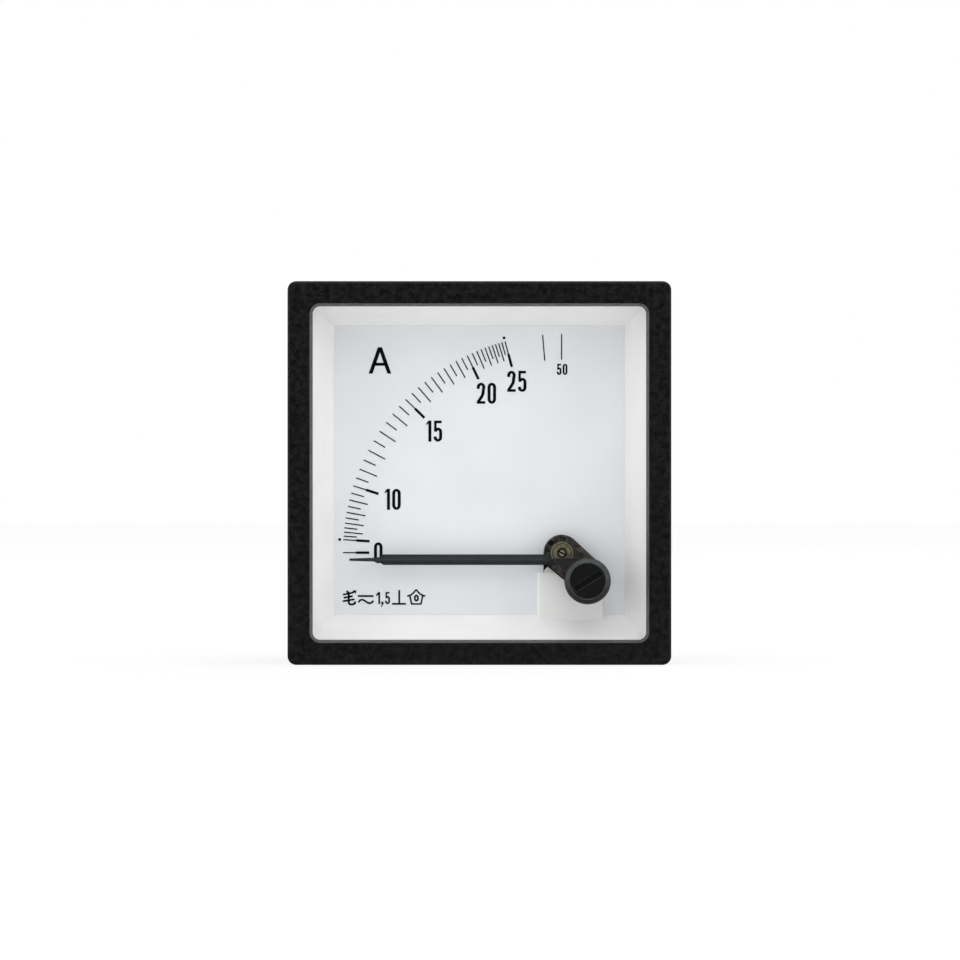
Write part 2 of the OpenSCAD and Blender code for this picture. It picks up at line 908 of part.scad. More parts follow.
// A copper lead from the coil to a lug on the terminal's stud
module coil_lead(points, side) {
    lug = [side * stud_x, stud_z];
    color("#b5693c") {
        for (i = [0 : len(points) - 2])
            wire(points[i], points[i + 1], lead_r);
        translate(points[0])
            sphere(lead_r + running);
        slab(wall_front - lug_t, wall_front)
            difference() {
                teardrop(lug, lug_r, [lug[0], lead_z], lead_r + 0.5);
                translate(lug)
                    circle(stud_r + fit);
            }
    }
}

module coil_lead_left() {
    start = pivot + polar(winding_r + lead_r + running, 154);
    y = winding_front + wire_d / 2;
    coil_lead([[start[0], y, start[1]], [-stud_x, y, start[1]], [-stud_x, y, lead_z],
               [-stud_x, lead_end, lead_z]], -1);
}

module coil_lead_right() {
    up = stud_x - pivot[0];
    start_z = pivot[1] + sqrt(pow(winding_r + lead_r + running, 2) - up * up);
    y = winding_rear - wire_d / 2;
    coil_lead([[stud_x, y, start_z], [stud_x, y, lead_z],
               [stud_x, lead_end, lead_z]], 1);
}

// ---- terminals ----

module hexagon(af) {
    circle(d = af / cos(30), $fn = 6);
}

module terminal_stud(side) {
    head_front = wall_front - lug_t - stud_head_t;
    color("#c2a35c")
        at([side * stud_x, stud_z]) {
            slab(head_front, wall_front - lug_t)
                hexagon(nut_af);
            bar(wall_front - lug_t - running, nut_front - running, stud_r);
            bar(nut_front - lap, root_end + running, root_r);
            bar(root_end, stud_end - stud_chamfer, stud_r);
            bar(stud_end - stud_chamfer, stud_end, stud_r, stud_r - stud_chamfer);
        }
}

module terminal_stud_left() {
    terminal_stud(-1);
}

module terminal_stud_right() {
    terminal_stud(1);
}

module terminal_washers() {
    color("#c4c6c8")
        for (side = [-1, 1])
            at([side * stud_x, stud_z])
                tube(washer_front, nut_front, stud_r * 2, stud_r + fit);
}

module terminal_nuts() {
    bevel = 0.5;
    color("#c2a35c")
        for (side = [-1, 1])
            at([side * stud_x, stud_z])
                difference() {
                    intersection() {
                        slab(nut_front, nut_rear)
                            hexagon(nut_af);
                        turned()
                            polygon([
                                [0, nut_front], [nut_af / 2, nut_front],
                                [nut_af / 2 + 2 * bevel, nut_front + bevel],
                                [nut_af / 2 + 2 * bevel, nut_rear - bevel],
                                [nut_af / 2, nut_rear], [0, nut_rear]
                            ]);
                    }
                    bar(nut_front - lap, nut_rear + lap, root_r + running);
                }
}

// ---- zero adjuster ----

// The adjuster: a knurled head with a slotted well, a shaft through the window and a pin off
// its axis that moves the zero lever
module zero_adjuster() {
    head_rear = window_front - running;
    head_t = head_rear - bezel_front;
    well = head_t * 0.38;
    well_r = adjuster_r * 0.76;
    rim_r = adjuster_r * 0.932;
    rim_drop = head_t * 0.14;
    ridge = adjuster_r * 0.036;
    shaft_end = window_rear + ring_end_gap;
    color("#202123")
        at(adjuster) {
            difference() {
                union() {
                    slab(bezel_front + 1.5 * rim_drop, head_rear)
                        polygon([
                            for (i = [0 : 2 * knurl_n - 1])
                                polar(adjuster_r - (i % 2) * ridge, i * 180 / knurl_n)
                        ]);
                    turned()
                        polygon([
                            [0, bezel_front + well], [well_r, bezel_front + well],
                            [well_r, bezel_front + rim_drop / 3],
                            [well_r + ridge, bezel_front], [rim_r, bezel_front + rim_drop],
                            [rim_r, head_rear], [0, head_rear]
                        ]);
                }
                rotate([0, slot_lean, 0])
                    translate([-well_r * 0.91, bezel_front, -slot_w / 2])
                        cube([2 * well_r * 0.91, well + head_t * 0.3, slot_w]);
            }
            bar(head_rear - running, shaft_end, shaft_r);
            at(polar(-eccentric_d, adjuster_dir))
                bar(shaft_end - lap, blade_rear + blade_t / 2, pin_r);
        }
}

// A spring ring that keeps the adjuster in the window
module adjuster_ring() {
    color("#a9abad")
        at(adjuster)
            tube(window_rear + fit, window_rear + ring_end_gap - fit, shaft_r * 1.5, shaft_r);
}

// The zero lever: a ring on the bush's neck and a cranked blade in front of the bush, with a
// slot for the adjuster's pin and a lug for the hairspring's stud
module zero_lever() {
    slot_mid = adjuster_d - eccentric_d + 0.1;
    slot_half = pin_r + fit;
    blade_end = slot_mid + slot_half + 1.2;
    crank = [bush_r + passing, bush_r + passing + 0.9];
    color("#4a3f3d")
        at(pivot) {
            difference() {
                slab(ring_front, ring_rear) {
                    difference() {
                        union() {
                            circle(bush_r);
                            rotate(spring_stud_dir)
                                translate([0, -spring_arm_w / 2])
                                    square([spring_stud_at + spring_arm_w / 2, spring_arm_w]);
                            rotate(adjuster_dir)
                                translate([0, -1.4])
                                    square([crank[1], 2.8]);
                        }
                        circle(bush_neck_r + running);
                    }
                }
                at(polar(spring_stud_at, spring_stud_dir))
                    bar(ring_front - lap, ring_rear + lap, spring_stud_r);
            }
            slab(blade_front, ring_rear)
                rotate(adjuster_dir)
                    translate([crank[0], -1.4])
                        square([crank[1] - crank[0], 2.8]);
            // the blade ends in a level edge just below the jewel screw
            slab(blade_front, blade_rear)
                difference() {
                    rotate(adjuster_dir)
                        difference() {
                            translate([-1, -blade_w / 2])
                                square([blade_end + 1, blade_w]);
                            translate([slot_mid - slot_half - 0.2, -slot_half])
                                square([2 * slot_half + 0.6, 2 * slot_half]);
                        }
                    translate([-10, -jewel_r - 0.07])
                        square([20, 20]);
                }
        }
}

// The pin that the hairspring's outer end is fixed to
module spring_stud() {
    color("#3a3c40")
        at(pivot + polar(spring_stud_at, spring_stud_dir))
            bar(ring_front, spring_rear + 0.1, spring_stud_r);
}

// ---- moving system ----

module spindle() {
    color("#b6b9bc")
        at(pivot) {
            bar(spindle_front, spindle_front + pivot_tip, 0.03, spindle_r);
            bar(spindle_front + pivot_tip, spindle_rear - pivot_tip, spindle_r);
            bar(spindle_rear - pivot_tip, spindle_rear, spindle_r, 0.03);
        }
}

// The pointer: a folded bar beside the pivot, a step and a fine tip that points at the scale
module pointer() {
    tip_x = -(scale_r - pointer_short);
    bar_x = tip_x + tip_len + 1.7;
    low = -pointer_offset - pointer_w / 2;
    high = -pointer_offset + pointer_w / 2;
    ridge = 0.3;
    y0 = hub_front + 0.05;
    color("#34383a")
        at(pivot) {
            difference() {
                union() {
                    bar(hub_front, hub_rear, hub_r);
                    // the bar is folded along its middle, like a low roof
                    translate([bar_x, 0, 0])
                        rotate([0, 90, 0])
                            linear_extrude(-bar_x - 0.4)
                                polygon([
                                    [-high, y0 + ridge], [-high, y0 + ridge + pointer_t],
                                    [pointer_offset, y0 + pointer_t],
                                    [-low, y0 + ridge + pointer_t], [-low, y0 + ridge],
                                    [pointer_offset, y0]
                                ]);
                }
                bar(hub_front - lap, hub_rear + 1, spindle_r);
            }
            slab(y0 + ridge, y0 + ridge + pointer_t)
                polygon([
                    [bar_x + 0.5, high], [bar_x, high], [bar_x - 0.55, -pointer_offset + 0.52],
                    [bar_x - 1.7, -pointer_offset + 0.37], [tip_x, -pointer_offset + 0.22],
                    [tip_x, -pointer_offset - 0.22], [bar_x - 1.7, -pointer_offset - 0.37],
                    [bar_x - 1.25, -pointer_offset - 0.62], [bar_x - 0.5, -pointer_offset - 0.62],
                    [bar_x, low], [bar_x + 0.5, low]
                ]);
        }
}

// A cross of three arms for the balance weights
module balance_cross() {
    color("#b49a5a")
        at(pivot)
            difference() {
                union() {
                    bar(cross_mid - cross_hub_len / 2, cross_mid + cross_hub_len / 2, cross_hub_r);
                    slab(cross_mid - cross_t / 2, cross_mid + cross_t / 2)
                        for (a = [0, 90, 270])
                            rotate(a)
                                translate([0, -arm_w / 2])
                                    square([cross_arm, arm_w]);
                }
                bar(cross_mid - cross_hub_len, cross_mid + cross_hub_len, spindle_r);
            }
}

// A weight screwed along an arm of the cross
module weight(dir, dist) {
    at(pivot)
        rotate([0, -dir, 0])
            translate([dist, cross_mid, 0])
                difference() {
                    rotate([0, 90, 0])
                        cylinder(h = weight_len, r = weight_r, center = true);
                    cube([weight_len + 1, cross_t, arm_w], center = true);
                }
}

module balance_weights() {
    color("#a88c4e") {
        weight(0, tail_weight_at);
        weight(90, side_weight_at);
        weight(270, side_weight_at);
    }
}

module spring_collet() {
    color("#b49a5a")
        at(pivot)
            tube(spring_front - 0.05, spring_rear + 0.05, collet_r, spindle_r);
}

// The hairspring: a flat strip wound from the collet out to the stud
module hairspring() {
    steps = 24 * spring_turns;
    r0 = collet_r + spring_t / 2;
    r1 = spring_stud_at - spring_stud_r - spring_t / 2;
    mid = [for (i = [0 : steps]) [r0 + (r1 - r0) * i / steps,
                                  spring_stud_dir + 360 * spring_turns * (i / steps - 1)]];
    color("#8c93a8")
        at(pivot)
            slab(spring_front, spring_rear)
                polygon(concat(
                    [for (m = mid) polar(m[0] + spring_t / 2, m[1])],
                    [for (i = [steps : -1 : 0]) polar(mid[i][0] - spring_t / 2, mid[i][1])]
                ));
}

// A light paddle that swings in the damping chamber
module damping_vane() {
    y0 = base_front + chamber_floor + vane_gap;
    y1 = base_rear - vane_gap;
    tip = chamber_r - 0.5;
    root = chamber_r * 0.4;
    color("#c4c7c9")
        at(pivot) {
            tube(y0, y1, 1.1, spindle_r);
            rotate([0, -vane_dir, 0]) {
                translate([spindle_r + running, y0, -vane_t / 2])
                    cube([tip - spindle_r - running, vane_gap * 1.5, vane_t]);
                translate([root, y0, -vane_t / 2])
                    cube([tip - root, y1 - y0, vane_t]);
            }
        }
}

// The moving iron: a small curved sheet on two arms, close inside the fixed one
module moving_iron() {
    y0 = winding_front + iron_inset;
    y1 = winding_rear - iron_inset;
    r = coil_bore_r - iron_t - iron_air;
    half = 9;
    color("#8d9092")
        at(pivot) {
            translate([0, y0, 0])
                rotate([-90, 0, 0])
                    iron_sheet(r, -half, half, 0, y1 - y0);
            for (y = [y0, y1 - iron_arm_t])
                slab(y, y + iron_arm_t)
                    difference() {
                        union() {
                            circle(iron_ring_r);
                            translate([0, -iron_arm_w / 2])
                                square([r - iron_t / 2, iron_arm_w]);
                        }
                        circle(spindle_r);
                    }
        }
}

case();
bezel();
window_glass();
surround();
dial_plate();
scale_marks();
movement_base();
movement_screws();
damping_cover();
front_frame();
front_bridge();
frame_screws();
front_bush();
front_jewel_screw();
rear_jewel_screw();
coil_bobbin();
coil_winding();
fixed_iron();
coil_lead_left();
coil_lead_right();
terminal_stud_left();
terminal_stud_right();
terminal_washers();
terminal_nuts();
zero_adjuster();
adjuster_ring();
zero_lever();
spring_stud();
spindle();
pointer();
balance_cross();
balance_weights();
spring_collet();
hairspring();
damping_vane();
moving_iron();
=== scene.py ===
import math

import bpy
import numpy as np
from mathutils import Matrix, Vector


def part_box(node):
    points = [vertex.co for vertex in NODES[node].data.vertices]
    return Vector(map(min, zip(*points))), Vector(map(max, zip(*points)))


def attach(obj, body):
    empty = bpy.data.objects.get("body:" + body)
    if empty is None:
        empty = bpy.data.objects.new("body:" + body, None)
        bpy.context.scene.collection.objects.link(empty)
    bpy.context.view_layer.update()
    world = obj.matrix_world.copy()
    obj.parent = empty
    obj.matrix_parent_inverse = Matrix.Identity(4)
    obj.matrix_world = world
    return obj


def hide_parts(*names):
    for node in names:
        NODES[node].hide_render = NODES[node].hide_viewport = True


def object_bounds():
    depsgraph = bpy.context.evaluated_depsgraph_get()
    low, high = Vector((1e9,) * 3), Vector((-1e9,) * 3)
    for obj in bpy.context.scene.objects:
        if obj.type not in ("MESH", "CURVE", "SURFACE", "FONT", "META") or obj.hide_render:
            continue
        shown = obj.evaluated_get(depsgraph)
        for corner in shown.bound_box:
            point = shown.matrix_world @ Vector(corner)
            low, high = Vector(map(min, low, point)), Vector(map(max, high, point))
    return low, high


bl_info = {
    "name": "Panel Meter Dressing",
    "version": (1, 0, 0),
    "blender": (4, 5, 0),
    "location": "3D View > Sidebar > Panel Meter",
    "description": "Gives a moving-iron panel meter its finishes, printing and screw threads",
    "category": "Object",
}

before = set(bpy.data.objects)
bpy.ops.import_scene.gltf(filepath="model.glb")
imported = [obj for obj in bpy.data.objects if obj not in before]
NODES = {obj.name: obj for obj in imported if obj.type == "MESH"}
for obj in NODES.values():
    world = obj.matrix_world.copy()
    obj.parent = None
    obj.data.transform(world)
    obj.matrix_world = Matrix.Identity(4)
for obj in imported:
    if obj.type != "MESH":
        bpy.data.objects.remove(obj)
CAD_BOX = [list(map(float, corner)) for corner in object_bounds()]
MM = 0.001
CASE = "meter_case"
# Ridges round the adjuster's head
KNURL = 60.0
DIAL_FRONT = float(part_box("dial_plate")[0][1])
INK_FRONT = float(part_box("scale_marks")[0][1])
FLOOR_Z = CAD_BOX[0][2]

# Lower left corners of the numbers, in millimetres along X and Z
NUMBER_PLACES = {
    "0": (-20.01, -17.13), "10": (-17.98, -6.97), "15": (-10.12, 5.98),
    "20": (-0.5, 13.17), "25": (5.27, 15.43),
}
OVERLOAD_PLACE = (14.68, 18.65)
UNIT_PLACE = (-21.03, 18.88)
CLASS_FOOT = -24.86

# Radius of the terminals' screws, the length of their heads, and their turned corners
STUD_R = 2.5 * MM
STUD_HEAD = 2 * MM
STUD_BEVEL = 0.4 * MM
STUD_CHAMFER = 0.6 * MM

# Half the floor's side; the share of steady white in what the camera sees of it; and the levels of
# Y between which its glow for glass and metal rises
FLOOR_REACH = 3.0
FLOOR_WHITE = 0.8
GLOW_RISE = (-30 * MM, 60 * MM)

# Softboxes: name, place and target in metres, side in metres, power in watts
LAMPS = (
    ("key", (0.1, -0.75, 1.1), (0.0, 0.0, 0.0), 1.0, 2.9),
    ("left", (-1.0, -0.5, 0.3), (0.0, 0.0, 0.0), 0.8, 1.45),
    ("right", (1.0, -0.5, 0.3), (0.0, 0.0, 0.0), 0.8, 1.55),
    ("rear", (0.4, 0.9, 0.8), (0.0, 0.03, 0.0), 0.8, 3.0),
)
CAMERA_PLACE = (0.00011, -0.9055, -0.00131)
LENS = 180.0
SENSOR = 36.0


# ---------------------------------------------------------------- properties


def length(name, description, default, low, high):
    """A distance that a user may change, in metres."""
    return bpy.props.FloatProperty(
        name=name, description=description, default=default, min=low, max=high,
        precision=5, subtype="DISTANCE", unit="LENGTH",
    )


def shade(name, description, rgb):
    """A colour that a user may change, as it looks on a screen."""
    return bpy.props.FloatVectorProperty(
        name=name, description=description, default=rgb, min=0.0, max=1.0,
        size=3, subtype="COLOR_GAMMA",
    )


class MeterSizes(bpy.types.PropertyGroup):
    """Sizes of what is printed, cut or textured onto the meter."""

    numeral_height: length(
        "Numeral height", "Height of the numbers along the scale",
        3.98 * MM, 2 * MM, 5 * MM)
    numeral_width: length(
        "Numeral width", "Width of one numeral",
        1.62 * MM, 1 * MM, 2.4 * MM)
    numeral_stroke: length(
        "Numeral stroke", "Width of an upright stroke of the numbers",
        0.57 * MM, 0.2 * MM, 0.7 * MM)
    unit_height: length(
        "Unit height", "Height of the unit's letter",
        5.0 * MM, 3 * MM, 7 * MM)
    symbol_stroke: length(
        "Symbol stroke", "Width of the strokes of the small symbols",
        0.34 * MM, 0.1 * MM, 0.4 * MM)
    thread_pitch: length(
        "Thread pitch", "Distance from turn to turn of the terminals' thread",
        0.8 * MM, 0.5 * MM, 1.2 * MM)
    thread_depth: length(
        "Thread depth", "Depth of the terminals' thread",
        0.4 * MM, 0.2 * MM, 0.6 * MM)
    lip_corner: length(
        "Lip corner", "Corner radius of the lip round the window",
        2.0 * MM, 1 * MM, 4 * MM)
    mould_grain: length(
        "Mould grain", "Size of the grains in the black mouldings' texture",
        0.28 * MM, 0.1 * MM, 1 * MM)
    mould_relief: length(
        "Mould relief", "Height of the grains in the black mouldings' texture",
        0.012 * MM, 0.0, 0.05 * MM)


class MeterColours(bpy.types.PropertyGroup):
    """Colours of the meter's mouldings, metals, lacquers and ink."""

    bezel: shade("Bezel", "Black of the bezel", (0.058, 0.058, 0.06))
    # The lip's grey is a painted sheen on the bezel's black plastic.
    lip: shade("Lip", "Grey of the polished lip round the window", (0.31, 0.31, 0.31))
    case: shade("Case", "Black of the case", (0.13, 0.13, 0.135))
    surround: shade("Surround", "White of the surround", (0.96, 0.958, 0.955))
    dial: shade("Dial", "White lacquer of the dial", (0.925, 0.94, 0.95))
    ink: shade("Ink", "Black ink of the scale and the lettering", (0.01, 0.02, 0.03))
    pointer: shade("Pointer", "Dark paint of the pointer", (0.155, 0.17, 0.175))
    movement: shade("Movement", "Rubbed black moulding of the front frame", (0.28, 0.278, 0.25))
    lever: shade("Lever", "Dark lacquer of the zero lever", (0.165, 0.148, 0.155))
    adjuster: shade("Adjuster", "Black of the zero adjuster", (0.05, 0.05, 0.052))
    # The rim's grey is a painted sheen; the edges in the well and the ridge tips get it too as
    # painted highlights.
    adjuster_rim_sheen: shade("Adjuster rim", "Worn grey of the adjuster's rim", (0.25, 0.275, 0.275))
    base: shade("Base", "Black of the movement's base", (0.07, 0.07, 0.072))
    nylon: shade("Nylon", "Cream of the coil's former", (0.88, 0.86, 0.78))
    brass: shade("Brass", "Turned brass", (0.82, 0.71, 0.48))
    pale_brass: shade("Pale brass", "Bright brass of the jewel screws", (0.90, 0.87, 0.76))
    dull_brass: shade("Dull brass", "Aged brass of the front bush", (0.60, 0.575, 0.47))
    blued: shade("Blued steel", "Dark steel of the hairspring's stud", (0.22, 0.23, 0.25))
    zinc: shade("Zinc", "Zinc plating on steel", (0.78, 0.79, 0.80))
    steel: shade("Steel", "Bright steel", (0.72, 0.73, 0.74))
    aluminium: shade("Aluminium", "Rolled aluminium sheet", (0.82, 0.83, 0.84))
    iron: shade("Iron", "Annealed iron sheet", (0.52, 0.53, 0.54))
    copper: shade("Copper", "Enamelled copper wire", (0.66, 0.34, 0.18))
    bronze: shade("Bronze", "Bronze strip of the hairspring", (0.60, 0.58, 0.58))
    glass: shade("Glass", "Clear window", (0.99, 0.99, 0.99))
    floor: shade("Floor", "Pale floor", (0.93, 0.93, 0.93))


# ------------------------------------------------------------------ finishes


def linear(rgb):
    """The shader's value of a screen colour: the usual power curve with its straight foot."""
    c = np.asarray(rgb, float)
    return np.where(c <= 0.04045, c / 12.92, ((c + 0.055) / 1.055) ** 2.4)


def toned(rgb, amount):
    """A screen colour made lighter (amount above 1) or darker (below 1)."""
    return tuple(np.clip(np.asarray(rgb, float) * amount, 0.0, 1.0))


def spread(tree, value, start, end, low, high):
    """A node that takes value from start to end over to low to high."""
    ramp = tree.nodes.new("ShaderNodeMapRange")
    ranges = zip(("From Min", "From Max", "To Min", "To Max"), (start, end, low, high))
    for key, number in ranges:
        ramp.inputs[key].default_value = number
    tree.links.new(value, ramp.inputs["Value"])
    return ramp.outputs["Result"]


class Finish:
    """One Principled material. Patterns are read from the piece's own place in metres."""

    def __init__(self, name, rgb, roughness, metallic=0.0, specular=0.5):
        self.mat = bpy.data.materials.new(name)
        self.mat.use_nodes = True
        self.tree = self.mat.node_tree
        self.tree.nodes.clear()
        self.out = self.node("ShaderNodeOutputMaterial")
        self.bsdf = self.node("ShaderNodeBsdfPrincipled")
        self.join(self.bsdf.outputs[0], self.out.inputs["Surface"])
        self.set("Base Color", (*linear(rgb), 1.0))
        self.set("Roughness", roughness)
        self.set("Metallic", metallic)
        self.set("Specular IOR Level", specular)
        self.place = self.node("ShaderNodeTexCoord").outputs["Object"]
        self.normal = None

    def node(self, kind, **settings):
        made = self.tree.nodes.new(kind)
        for key, value in settings.items():
            setattr(made, key, value)
        return made

    def join(self, source, target):
        self.tree.links.new(source, target)

    def set(self, socket, value):
        self.bsdf.inputs[socket].default_value = value

    def grain(self, size, detail=3.0, rough=0.55, stretch=(1.0, 1.0, 1.0)):
        """Cloudy noise whose features are about one size across, drawn out along an axis."""
        mapping = self.node("ShaderNodeMapping")
        mapping.inputs["Scale"].default_value = stretch
        self.join(self.place, mapping.inputs["Vector"])
        noise = self.node("ShaderNodeTexNoise")
        noise.inputs["Scale"].default_value = 1.0 / size
        noise.inputs["Detail"].default_value = detail
        noise.inputs["Roughness"].default_value = rough
        self.join(mapping.outputs[0], noise.inputs["Vector"])
        return noise.outputs["Fac"]

    def edges(self, radius, lean=0.12):
        """1 along sharp edges and 0 away from them: how far the rounded normal leans from the
        flat one."""
        bevel = self.node("ShaderNodeBevel", samples=6)
        bevel.inputs["Radius"].default_value = radius
        agree = self.node("ShaderNodeVectorMath", operation="DOT_PRODUCT")
        self.join(bevel.outputs["Normal"], agree.inputs[0])
        self.join(self.node("ShaderNodeNewGeometry").outputs["Normal"], agree.inputs[1])
        return self.ranged(agree.outputs["Value"], 1.0, 0.0, 1.0 - lean, 1.0)

    def along(self, axis):
        """The piece's own coordinate along X, Y or Z."""
        parts = self.node("ShaderNodeSeparateXYZ")
        self.join(self.place, parts.inputs[0])
        return parts.outputs[axis]

    def band(self, value, start, end, blur):
        """1 where value lies between start and end, 0 elsewhere, with a short blend."""
        return self.together(self.ranged(value, 0.0, 1.0, start - blur, start + blur),
                             self.ranged(value, 1.0, 0.0, end - blur, end + blur))

    def turning(self, centre, pitch):
        """Fine rings round an axis along Y, as a lathe tool leaves them: sine of the radius."""
        mapping = self.node("ShaderNodeMapping")
        mapping.inputs["Location"].default_value = [-c for c in centre]
        mapping.inputs["Scale"].default_value = (1.0, 0.0, 1.0)
        self.join(self.place, mapping.inputs["Vector"])
        rings = self.node("ShaderNodeTexWave", wave_type="RINGS", rings_direction="SPHERICAL")
        rings.inputs["Scale"].default_value = 0.314 / pitch
        rings.inputs["Distortion"].default_value = 1.2
        self.join(mapping.outputs[0], rings.inputs["Vector"])
        return rings.outputs["Fac"]

    def ridges(self, centre, count):
        """Cosine of count times the angle round a line along Y: 1 on each ridge of a knurl, -1
        between them."""
        turn = self.node("ShaderNodeMath", operation="ARCTAN2")
        for axis, socket in (("Z", 0), ("X", 1)):
            side = self.node("ShaderNodeMath", operation="SUBTRACT")
            self.join(self.along(axis), side.inputs[0])
            side.inputs[1].default_value = centre["XYZ".index(axis)]
            self.join(side.outputs[0], turn.inputs[socket])
        many = self.node("ShaderNodeMath", operation="MULTIPLY")
        self.join(turn.outputs[0], many.inputs[0])
        many.inputs[1].default_value = count
        wave = self.node("ShaderNodeMath", operation="COSINE")
        self.join(many.outputs[0], wave.inputs[0])
        return wave.outputs[0]

    def from_axis(self, centre):
        """Distance from an axis along Y through centre."""
        offset = self.node("ShaderNodeVectorMath", operation="SUBTRACT")
        offset.inputs[1].default_value = centre
        self.join(self.place, offset.inputs[0])
        flat = self.node("ShaderNodeVectorMath", operation="MULTIPLY")
        flat.inputs[1].default_value = (1.0, 0.0, 1.0)
        self.join(offset.outputs[0], flat.inputs[0])
        away = self.node("ShaderNodeVectorMath", operation="LENGTH")
        self.join(flat.outputs[0], away.inputs[0])
        return away.outputs["Value"]

    def from_middle(self, straight):
        """Half the side of the upright square round the origin that a point lies on, with
        corners rounded beyond straight: the length of what |x| and |z| exceed straight by, plus
        straight."""
        step = self.place
        for operation, other in (("ABSOLUTE", None), ("SUBTRACT", (straight, 0.0, straight)),
                                 ("MAXIMUM", (0.0, 0.0, 0.0)), ("MULTIPLY", (1.0, 0.0, 1.0))):
            maths = self.node("ShaderNodeVectorMath", operation=operation)
            self.join(step, maths.inputs[0])
            if other is not None:
                maths.inputs[1].default_value = other
            step = maths.outputs[0]
        beyond = self.node("ShaderNodeVectorMath", operation="LENGTH")
        self.join(step, beyond.inputs[0])
        side = self.node("ShaderNodeMath", operation="ADD")
        side.inputs[1].default_value = straight
        self.join(beyond.outputs["Value"], side.inputs[0])
        return side.outputs[0]

    def between(self, mask, first, second):
        """first where mask is 0, second where it is 1; each is a number or another pattern."""
        mix = self.node("ShaderNodeMix")
        self.join(mask, mix.inputs["Factor"])
        for key, value in (("A", first), ("B", second)):
            if isinstance(value, float):
                mix.inputs[key].default_value = value
            else:
                self.join(value, mix.inputs[key])
        return mix.outputs["Result"]

    def ranged(self, value, low, high, start=0.3, end=0.7):
        """value from start to end becomes low to high."""
        return spread(self.tree, value, start, end, low, high)

    def together(self, a, b, operation="MULTIPLY"):
        """Two patterns multiplied, or joined by another sum."""
        maths = self.node("ShaderNodeMath", operation=operation)
        self.join(a, maths.inputs[0])
        self.join(b, maths.inputs[1])
        return maths.outputs[0]

    def tint(self, value, first, second, start=0.35, end=0.65):
        """The base colour goes from first to second as value goes from start to end."""
        mix = self.node("ShaderNodeMix", data_type="RGBA")
        mix.inputs["A"].default_value = (*linear(first), 1.0)
        mix.inputs["B"].default_value = (*linear(second), 1.0)
        self.join(self.ranged(value, 0.0, 1.0, start, end), mix.inputs["Factor"])
        self.colour = mix.outputs["Result"]
        self.join(self.colour, self.bsdf.inputs["Base Color"])

    def coat(self, mask, rgb):
        """Lays another colour over the base colour where mask is 1."""
        mix = self.node("ShaderNodeMix", data_type="RGBA")
        self.join(mask, mix.inputs["Factor"])
        self.join(self.colour, mix.inputs["A"])
        mix.inputs["B"].default_value = (*linear(rgb), 1.0)
        self.colour = mix.outputs["Result"]
        self.join(self.colour, self.bsdf.inputs["Base Color"])

    def shine(self, value, low, high, start=0.3, end=0.7):
        """The roughness goes from low to high as value goes from start to end."""
        self.join(self.ranged(value, low, high, start, end), self.bsdf.inputs["Roughness"])

    def soften(self, radius):
        """Sharp edges catch light as if they were rounded to radius."""
        bevel = self.node("ShaderNodeBevel", samples=6)
        bevel.inputs["Radius"].default_value = radius
        self.normal = bevel.outputs["Normal"]
        self.join(self.normal, self.bsdf.inputs["Normal"])

    def relief(self, value, height, strength=1.0):
        """value raises the surface by up to height."""
        bump = self.node("ShaderNodeBump")
        bump.inputs["Distance"].default_value = height
        bump.inputs["Strength"].default_value = strength
        self.join(value, bump.inputs["Height"])
        if self.normal is not None:
            self.join(self.normal, bump.inputs["Normal"])
        self.normal = bump.outputs["Normal"]
        self.join(self.normal, self.bsdf.inputs["Normal"])


def black_moulding(name, rgb, sizes, edge, specular, mottle=1.0, lip=None, lip_sheen_rgb=None):
    """Spark-textured black plastic: blotches a few grains across, fine grains, and pale specks that
    are dust and painted glints. Inside lip, half the window, half the window's side, it is plain and
    glossy, with a grey painted sheen laid over it."""
    f = Finish(name, rgb, 0.5, specular=specular)
    grains = f.grain(sizes.mould_grain, 2.0)
    blotches = f.grain(sizes.mould_grain * 4, 4.0, 0.75)
    f.tint(blotches, toned(rgb, 1.0 - 0.7 * mottle), toned(rgb, 1.0 + 0.75 * mottle), 0.4, 0.62)
    # Pale specks: dust, and painted glints on the grains.
    dust_and_glint_specks = f.ranged(f.grain(sizes.mould_grain * 1.3, 1.0), 0.0, 0.7, 0.66, 0.72)
    f.coat(dust_and_glint_specks, toned(rgb, 1.0 + 2.4 * mottle))
    rough = f.ranged(f.together(grains, blotches, "ADD"), 0.42, 0.6, 0.8, 1.2)
    if lip is not None:
        side = f.from_middle(lip - sizes.lip_corner)
        plain = f.ranged(side, 1.0, 0.0, lip - 0.06 * MM, lip + 0.03 * MM)
        # Grey painted sheen on the lip round the window.
        f.coat(plain, lip_sheen_rgb)
        rough = f.between(plain, rough, 0.25)
        grains = f.between(plain, grains, 0.5)
    f.join(rough, f.bsdf.inputs["Roughness"])
    f.soften(edge)
    f.relief(grains, sizes.mould_relief)
    return f.mat


